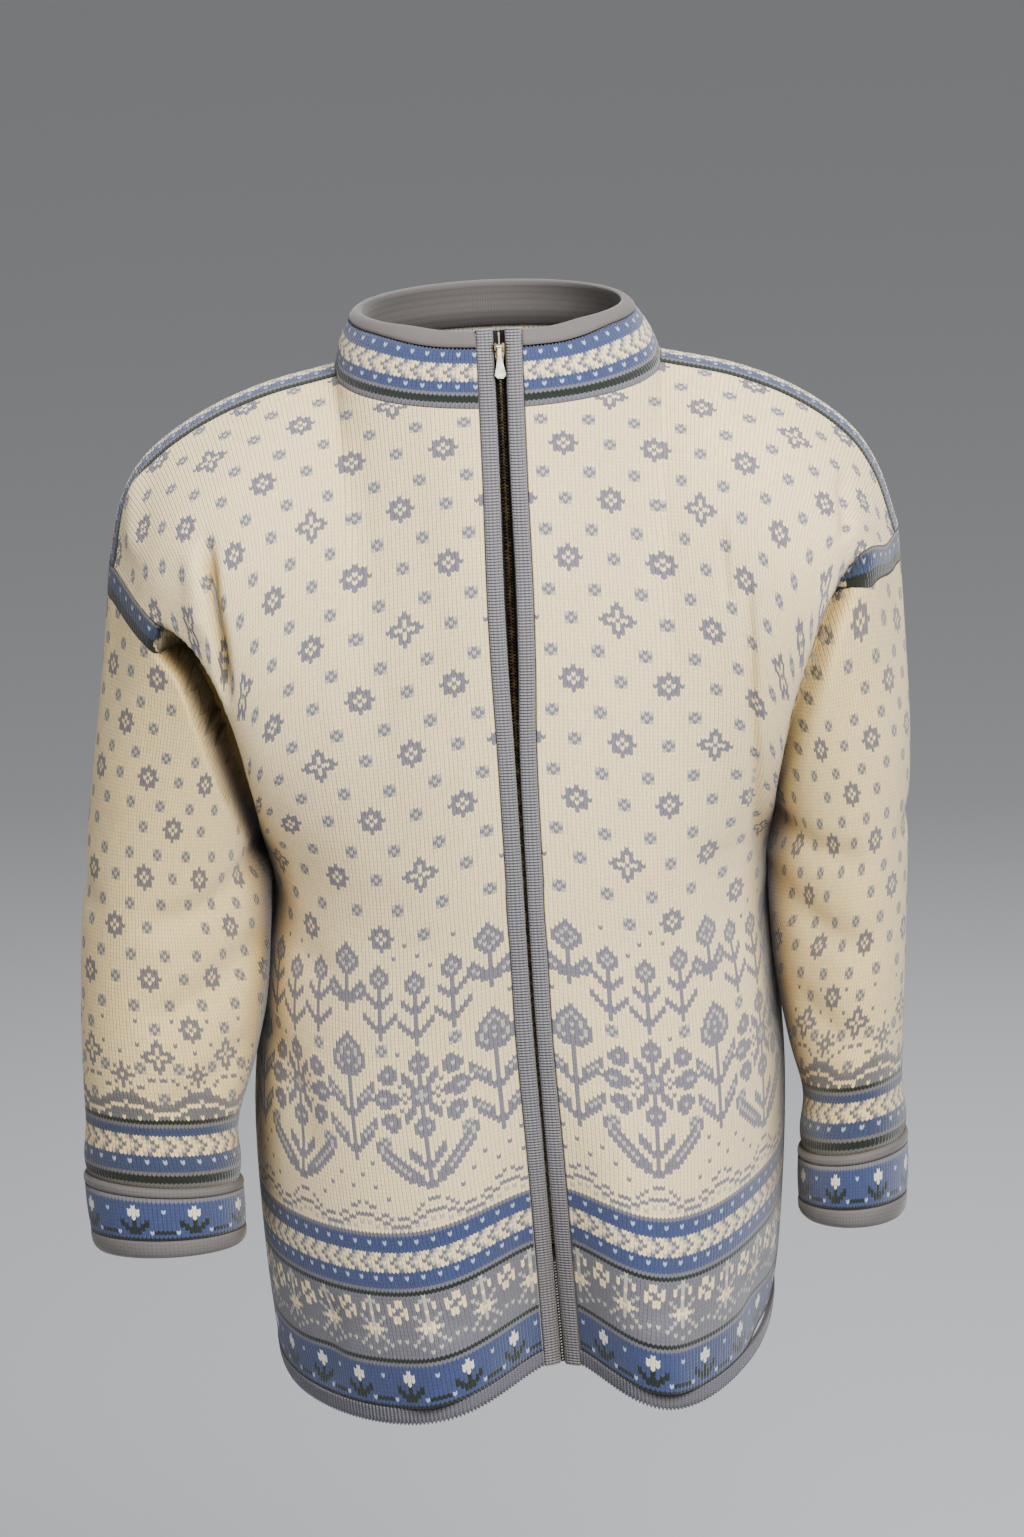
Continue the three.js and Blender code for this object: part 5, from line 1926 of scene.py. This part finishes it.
def smooth_mesh(name: str, verts: Array, corners: Array, totals: Array) -> Mesh:
    """Makes a smooth mesh.

    Args:
        name: Name of the mesh.
        verts: Points in millimetres.
        corners: Point numbers round one face after another.
        totals: Number of corners of each face.

    Returns:
        The new mesh.
    """
    mesh = bpy.data.meshes.new(name)
    mesh.vertices.add(len(verts))
    mesh.vertices.foreach_set("co", (verts * MM).reshape(-1))
    mesh.loops.add(corners.size)
    mesh.loops.foreach_set("vertex_index", corners.reshape(-1))
    mesh.polygons.add(len(totals))
    mesh.polygons.foreach_set("loop_start", np.r_[0, np.cumsum(totals)[:-1]])
    mesh.polygons.foreach_set("use_smooth", np.ones(len(totals), bool))
    mesh.update(calc_edges=True)
    return mesh


def set_stitches(mesh: Mesh, uv: Array, yarn: Array) -> None:
    """Stores the stitch numbers of a mesh's corners and the yarn of its faces.

    Args:
        mesh: Mesh to store them on.
        uv: Stitch numbers across and along at each corner.
        yarn: Yarn number of each face.
    """
    layer = mesh.uv_layers.new(name=STITCH_UV)
    layer.uv.foreach_set("vector", np.ascontiguousarray(uv, np.float32).reshape(-1))
    attribute = mesh.attributes.new(YARN_ATTRIBUTE, "FLOAT", "FACE")
    attribute.data.foreach_set("value", ((yarn + 0.5) / len(Yarn)).astype(np.float32))


def dressed(mesh: Mesh, material: Material) -> Object:
    """Puts a mesh into the scene.

    Args:
        mesh: The finished mesh.
        material: Its finish.

    Returns:
        The new object, which bears the mesh's name.
    """
    mesh.materials.append(material)
    obj = bpy.data.objects.new(mesh.name, mesh)
    bpy.context.scene.collection.objects.link(obj)
    return obj


def swept_mesh(name: str, loops: Array, stations: Array, rows: Array, yarn: Array | int,
               turned: bool = False) -> Mesh:
    """Makes a closed body from the loops round its section.

    Args:
        name: Name of the mesh.
        loops: Points in millimetres, by loop and corner of the section.
        stations: Stitch number of each loop; with one more number the body is a ring.
        rows: Stitch number of each corner, and of the first one again.
        yarn: Yarn number of every face, or one for all.
        turned: Whether the wales run round the section instead of along the body.

    Returns:
        The new mesh, its ends filled and its faces outwards.
    """
    ids = np.arange(loops.shape[0] * loops.shape[1]).reshape(loops.shape[:2])
    ids = np.concatenate([ids, ids[:len(stations) - len(loops)]])
    quads = corners_of(np.concatenate([ids, ids[:, :1]], 1))
    mesh = smooth_mesh(name, loops.reshape(-1, 3), quads, np.full(quads[..., 0].size, 4))
    uv = [corners_of(grid) for grid in np.meshgrid(stations, rows, indexing="ij")]
    set_stitches(mesh, np.stack(uv[::-1] if turned else uv, -1),
                 np.broadcast_to(yarn, quads.shape[:2]).reshape(-1))
    bm = bmesh.new()
    bm.from_mesh(mesh)
    bmesh.ops.holes_fill(bm, edges=[e for e in bm.edges if e.is_boundary], sides=0)
    bmesh.ops.recalc_face_normals(bm, faces=bm.faces)
    bm.to_mesh(mesh)
    bm.free()
    return mesh


@dataclass
class ShoulderStrips:
    """The patterned strips along the shoulders, knitted lengthways."""

    form: GarmentForm
    courses: int = 17

    def build(self, knit: Material) -> None:
        """Args:
            knit: Finish.
        """
        for side, name in SIDE_NAME.items():
            fine = np.linspace(0, 1, 121)
            count, along = spread_wales(fine, self.form.strip(side, fine, 0.5))
            chart = Chart(0, count, 0, self.courses)
            chart.bands(0, ((2, Yarn.GREEN), (1, Yarn.GREY), (3, Yarn.BLUE), (5, Yarn.CREAM), (3, Yarn.BLUE),
                            (1, Yarn.GREY), (2, Yarn.GREEN)), dotted=(4, 12))
            wales, courses = leg_lattice(chart)
            across = np.clip(courses / self.courses, 0, 1)
            surface = partial(self.form.strip, side)
            a = np.broadcast_to(along[:, None], across.shape)
            points = surface(a, across)
            normal = normals_of(surface, a, across, (0, 1, 0, 1), points - np.array([0, 0, 50.0]))
            lift = 0.4 * np.sin(np.pi * across) ** 0.5 - behind_legs(wales)
            cloth = ClothMesh(f"Knit_shoulder_strip_{name}")
            cloth.add(points + normal * lift[..., None], normal, chart.legs(), (wales, courses[0]))
            obj = cloth.make(knit, thin_inside=False)
            declare(obj, [f"shoulder_strip_{name}"], Cut.of_form(surface, (0, 1, 0, 1)))


@dataclass
class Collar:
    """The standing collar: a patterned band outside and a plain facing rolled over its top edge."""

    form: GarmentForm
    courses: int = 17
    crest: float = 1.04  # share of the collar's height that the facing's roll reaches

    def build(self, knit: Material, plain: Material) -> None:
        self._band(knit)
        self._facing(plain)

    def band_top(self, turn: Array) -> Array:
        """Height at which the roll begins, lower towards the zip."""
        return COLLAR["band"] + mix(0.14, 0.05, ease(0.72, 0.93, np.abs(turn)))

    def _band(self, knit: Material) -> None:
        """Args:
            knit: Finish.
        """
        fine = np.linspace(-1, 1, 401)
        count, turn = spread_wales(fine, self.form.collar(fine, COLLAR["band"] / 2))
        chart = Chart(0, count, 0, self.courses)
        chart.bands(0, ((2, Yarn.GREY), (2, Yarn.GREEN), (1, Yarn.GREY), (3, Yarn.BLUE), (5, Yarn.CREAM),
                        (4, Yarn.BLUE)), dotted=(6, 15))
        wales, courses = leg_lattice(chart)
        height = np.clip(courses / self.courses, 0, 1) * self.band_top(turn)[:, None]
        a = np.broadcast_to(turn[:, None], height.shape)
        points = self.form.collar(a, height)
        centre = point(0 * a, COLLAR["y"] + 0 * a, points[..., 2])
        normal = normals_of(self.form.collar, a, height, (-1, 1, 0, 1), centre)
        cloth = ClothMesh("Knit_collar_band")
        cloth.add(points - normal * behind_legs(wales)[..., None], normal, chart.legs(), (wales, courses[0]))
        obj = cloth.make(knit, thin_inside=False)
        cut = Cut.of_form(self.form.collar, (-1, 1, 0, COLLAR["band"]))
        declare(obj, ["collar_band"], cut, ["front_right", "front_left", "back"])

    def _facing(self, plain: Material) -> None:
        """Args:
            plain: Finish.
        """
        base = COLLAR["band"]
        section = [(base + 0.008, 0.2), (base + 0.02, -0.5), (0.84, -0.9), (0.94, -0.6), (1.0, 0.3),
                   (1.035, 1.6), (1.045, 3.0), (1.03, 4.5), (0.98, 5.6), (0.8, 5.9), (0.5, 5.9), (0.14, 5.8),
                   (0.14, 4.3), (0.5, 4.4), (base + 0.008, 4.3)]
        turn = np.linspace(-1, 1, 361)
        crest = self.crest - 0.05 * ease(0.8, 0.95, np.abs(turn))
        loops = []
        for height, inset in section:
            share = (height - base) / (self.crest - base)
            raised = mix(self.band_top(turn), crest, share) if share > 0 else height
            loops.append(self.form.collar(turn, raised, inset))
        loops = np.stack(loops, 1)
        rows = 3.0 * np.arange(len(section) + 1)
        mesh = swept_mesh("Facing_collar", loops, np.arange(len(turn)), rows, Yarn.TAUPE.value)
        declare(dressed(mesh, plain), ["collar_facing"], Cut.of_sweep(loops), ["collar_band"])


@dataclass
class Fastening:
    """The two ribbed bindings and the zip between them: tapes, teeth, slider and pull."""

    form: GarmentForm
    ridge: float = 1.9  # mm from one cord of the binding to the next
    tooth: float = 2.1  # mm from one tooth to the next on one side
    tape: float = 0.9  # thickness of the zip's tape, mm

    def build(self, binding: Material, tape: Material, brass: Material) -> None:
        """Args:
            binding: Finish of the bindings.
            tape: Finish of the zip's tapes.
            brass: Finish of the teeth.
        """
        for side in SIDE_NAME:
            self._binding(side, binding)
            self._tape(side, tape)
        self._teeth(brass)

    def seam(self, side: int) -> Array:
        """The line where a binding is sewn on, from the hem up to the top of the collar.

        Args:
            side: -1 or 1.

        Returns:
            The points.
        """
        foot = float(self.form.foot(Face.FRONT, side, 0.0))
        rib = self.form.ring(Face.FRONT, side, 0.0, np.linspace(foot, foot + HEM_RIB, 5)[:-1])
        panel = self.form.panel(Face.FRONT, side, 0.0, np.linspace(0, PANEL_TOP, 191))
        heights = np.linspace(COLLAR["band"] / 4, 1.02, 12)
        collar = self.form.collar(np.full(len(heights), float(side)), heights)
        return np.concatenate([rib, panel, collar])

    def _stations(self, side: int, pitch: float) -> tuple[Array, Array, Array, Array]:
        """Seam points at an even pitch, with the zip's line, the binding's inner edge and its fall there.

        Args:
            side: -1 or 1.
            pitch: Distance from one station to the next, mm.

        Returns:
            The points and, at each of them, the zip's x, the binding's inner x and its fall.
        """
        line = self.seam(side)
        length = arc_along(line, 0)
        at = np.arange(0, length[-1], pitch)
        p = np.stack([np.interp(at, length, line[:, k]) for k in range(3)], -1)
        centre = ZIP.read("x", p[:, 2])
        edge = centre + side * ZIP.read("gap", p[:, 2]) / 2
        fall = 0.08 * BODY.read("valley", np.minimum(p[:, 2], UNDERARM))
        return p, centre, edge, fall

    def _binding(self, side: int, finish: Material) -> None:
        """Args:
            side: -1 or 1.
            finish: Finish.
        """
        p, _, edge, fall = self._stations(side, self.ridge / 4)
        section = np.array([(0.0, -0.6), (0.02, 0.35), (0.1, 0.95), (0.25, 1.25), (0.5, 1.4), (0.75, 1.2),
                            (0.9, 0.8), (0.985, 0.1), (1.0, -1.0), (1.0, -3.2), (0.95, -4.3), (0.5, -4.4),
                            (0.02, -4.3), (0.0, -3.0)])
        t, forward = section.T
        cord = np.cos(2 * np.pi * np.arange(len(p)) / 4)[:, None]
        ridge = 0.65 * cord * (forward > -1.2)
        start = p[:, :1] - side * 0.3
        x = mix(start, edge[:, None], t) - side * 0.4 * cord * (t < 0.05) + side * 0.3 * cord * (t > 0.95)
        y = p[:, 1:2] + fall[:, None] * t - forward - ridge
        loops = point(x, y, p[:, 2:3] + 0 * t)
        self._sweep("placket", side, loops, finish, Yarn.LAVENDER)

    def _tape(self, side: int, finish: Material) -> None:
        """Args:
            side: -1 or 1.
            finish: Finish.
        """
        p, centre, edge, fall = self._stations(side, 4.0)
        inner, outer = centre + side * 0.5, edge + side * 9.0
        front = p[:, 1] + BINDING_THICK + 0.4
        near, far = front + fall, front + fall * 0.3
        flat = [(inner, near), (mix(inner, outer, 0.5), mix(near, far, 0.5)), (outer, far)]
        rear = [(x, y + self.tape) for x, y in reversed(flat)]
        loops = np.stack([point(x, y, p[:, 2]) for x, y in (*flat, *rear)], 1)
        self._sweep("zip_tape", side, loops, finish, Yarn.TAUPE)

    def _sweep(self, part: str, side: int, loops: Array, finish: Material,
               yarn: Yarn) -> None:
        """Args:
            part: CAD node that it stands for, without its side.
            side: -1 or 1.
            loops: Points in millimetres, by station and corner of the section.
            finish: Material.
            yarn: Its yarn.
        """
        name = f"{part}_{SIDE_NAME[side]}"
        stations, rows = (np.arange(len(loops)) + 2) / 4, np.arange(loops.shape[1] + 1)
        mesh = swept_mesh(f"Strip_{name}", loops, stations, rows, yarn.value, turned=True)
        carrier = f"{CARRIER[part]}_{SIDE_NAME[side]}"
        declare(dressed(mesh, finish), [name], Cut.of_sweep(loops[::4]), [carrier])

    def _teeth(self, brass: Material) -> None:
        """Args:
            brass: Finish.
        """
        for obj in bpy.context.selected_objects:
            obj.select_set(False)
        bpy.ops.mesh.primitive_cube_add(size=1)
        tooth = bpy.context.object
        bpy.ops.object.mode_set(mode="EDIT")
        bpy.ops.transform.resize(value=(2.3, 1.3, 1.0))
        bpy.ops.mesh.bevel(offset=0.22, segments=1)
        bpy.ops.object.mode_set(mode="OBJECT")
        shape = np.array([v.co for v in tooth.data.vertices])
        faces = [tuple(p.vertices) for p in tooth.data.polygons]
        bpy.data.objects.remove(tooth)
        verts, polygons = [], []
        for k, side in enumerate(SIDE_NAME):
            p, _, _, fall = self._stations(side, self.tooth)
            line = p + np.array([0, 0, self.tooth / 2]) * k
            line = line[line[:, 2] < CHAIN_TOP]
            front = np.interp(line[:, 2], p[:, 2], p[:, 1] + fall) + BINDING_THICK - 0.75
            x = ZIP.read("x", line[:, 2]) + side * 0.85
            for place in point(x, front, line[:, 2]):
                base = len(verts) * len(shape)
                verts.append(shape * np.array([side, 1, 1]) + place)
                polygons += [tuple(base + v for v in face[::side]) for face in faces]
        mesh = bpy.data.meshes.new("Zip_teeth")
        mesh.from_pydata(np.concatenate(verts) * MM, [], polygons)
        declare(dressed(mesh, brass), [])


CHAIN_TOP = 14.0  # height where the teeth end under the slider, mm
CARRIER = {"placket": "front", "zip_tape": "placket"}  # what the strips along the zip are sewn to


@dataclass
class Studio:
    """Camera, lights and floor."""

    eye: tuple[float, float, float] = (-0.00256, -3.633, 0.69863)  # metres
    tilt: float = 15.0  # degrees below level
    roll: float = 2.5
    lens: float = 134.05
    floor: float = -1.36

    def build(self) -> None:
        """Sets up the camera, then the light and the floor."""
        camera = bpy.data.cameras.new("Camera")
        camera.lens, camera.sensor_width = self.lens, 36.0
        camera.clip_end = 100.0
        eye = bpy.data.objects.new("Camera", camera)
        bpy.context.scene.collection.objects.link(eye)
        tilt, roll = math.radians(self.tilt), math.radians(self.roll)
        forward = Vector((0, math.cos(tilt), -math.sin(tilt)))
        right, up = Vector((1, 0, 0)), Vector((0, math.sin(tilt), math.cos(tilt)))
        side = math.cos(roll) * right - math.sin(roll) * up
        above = math.sin(roll) * right + math.cos(roll) * up
        turn = Matrix((side, above, -forward)).transposed().to_4x4()
        eye.matrix_world = Matrix.Translation(self.eye) @ turn
        bpy.context.scene.camera = eye
        for name, place, size, power in (
                ("Key", (0.65, -1.5, 1.2), 1.2, 106.0), ("Fill", (-1.7, -2.0, 0.9), 1.8, 13.0),
                ("Top", (-0.1, 0.7, 2.0), 2.0, 22.0), ("Back", (0.4, 2.6, 1.0), 2.0, 34.0)):
            self._light(name, place, size, power)
        world = bpy.data.worlds.new("Studio")
        world.use_nodes = True
        background = world.node_tree.nodes["Background"]
        background.inputs[0].default_value = linear("E6E4E2")
        background.inputs[1].default_value = 0.37
        bpy.context.scene.world = world
        self._floor()

    def _light(self, name: str, place: tuple[float, float, float], size: float, power: float) -> None:
        """One soft area light, turned to the garment.

        Args:
            name: Name of the light.
            place: Where it stands, in metres.
            size: Its width, in metres.
            power: Its power, in watts.
        """
        lamp = bpy.data.lights.new(name, "AREA")
        lamp.size, lamp.energy = size, power
        obj = bpy.data.objects.new(name, lamp)
        obj.location = place
        aim = Vector((0, 0, -0.35)) - Vector(place)
        obj.rotation_euler = aim.to_track_quat("-Z", "Y").to_euler()
        bpy.context.scene.collection.objects.link(obj)

    def _floor(self) -> None:
        """A plain pale floor."""
        bpy.ops.mesh.primitive_plane_add(size=60, location=(0, 0, self.floor))
        floor = bpy.context.object
        floor.name = "Floor"
        material, tree = new_material("Pale_Painted_Floor")
        shader = add_node(tree, "BsdfPrincipled", {"Base Color": linear("C9CCD2"), "Roughness": 0.85})
        add_node(tree, "OutputMaterial", (shader,))
        floor.data.materials.append(material)


def corners(box: tuple[Sequence[float], Sequence[float]]) -> list[list[float]]:
    """A box as plain lists of numbers."""
    return [[float(x) for x in corner] for corner in box]


def main() -> None:
    """Builds the pieces in order."""
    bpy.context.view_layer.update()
    Studio().build()
    form = GarmentForm()
    colourwork = COLOURWORK.make()
    BodyPanels(form).build(colourwork)
    HemRibs(form).build(HEM_KNIT.make())
    Sleeves(form).build(SHADED_SLEEVE_COLOURWORK.make())
    plain = FACING_KNIT.make()
    Cuffs(form).build(colourwork, plain)
    ShoulderStrips(form).build(colourwork)
    Collar(form).build(colourwork, plain)
    Fastening(form).build(BINDING_KNIT.make(), TAPE_WEAVE.make(), BRASS.make())
    for node, metal in (("zip_slider", BRONZE), ("zip_pull", BRIGHT)):
        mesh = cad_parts[node].data
        mesh.materials.clear()
        mesh.materials.append(metal.make())


if __name__ == "__main__":
    main()
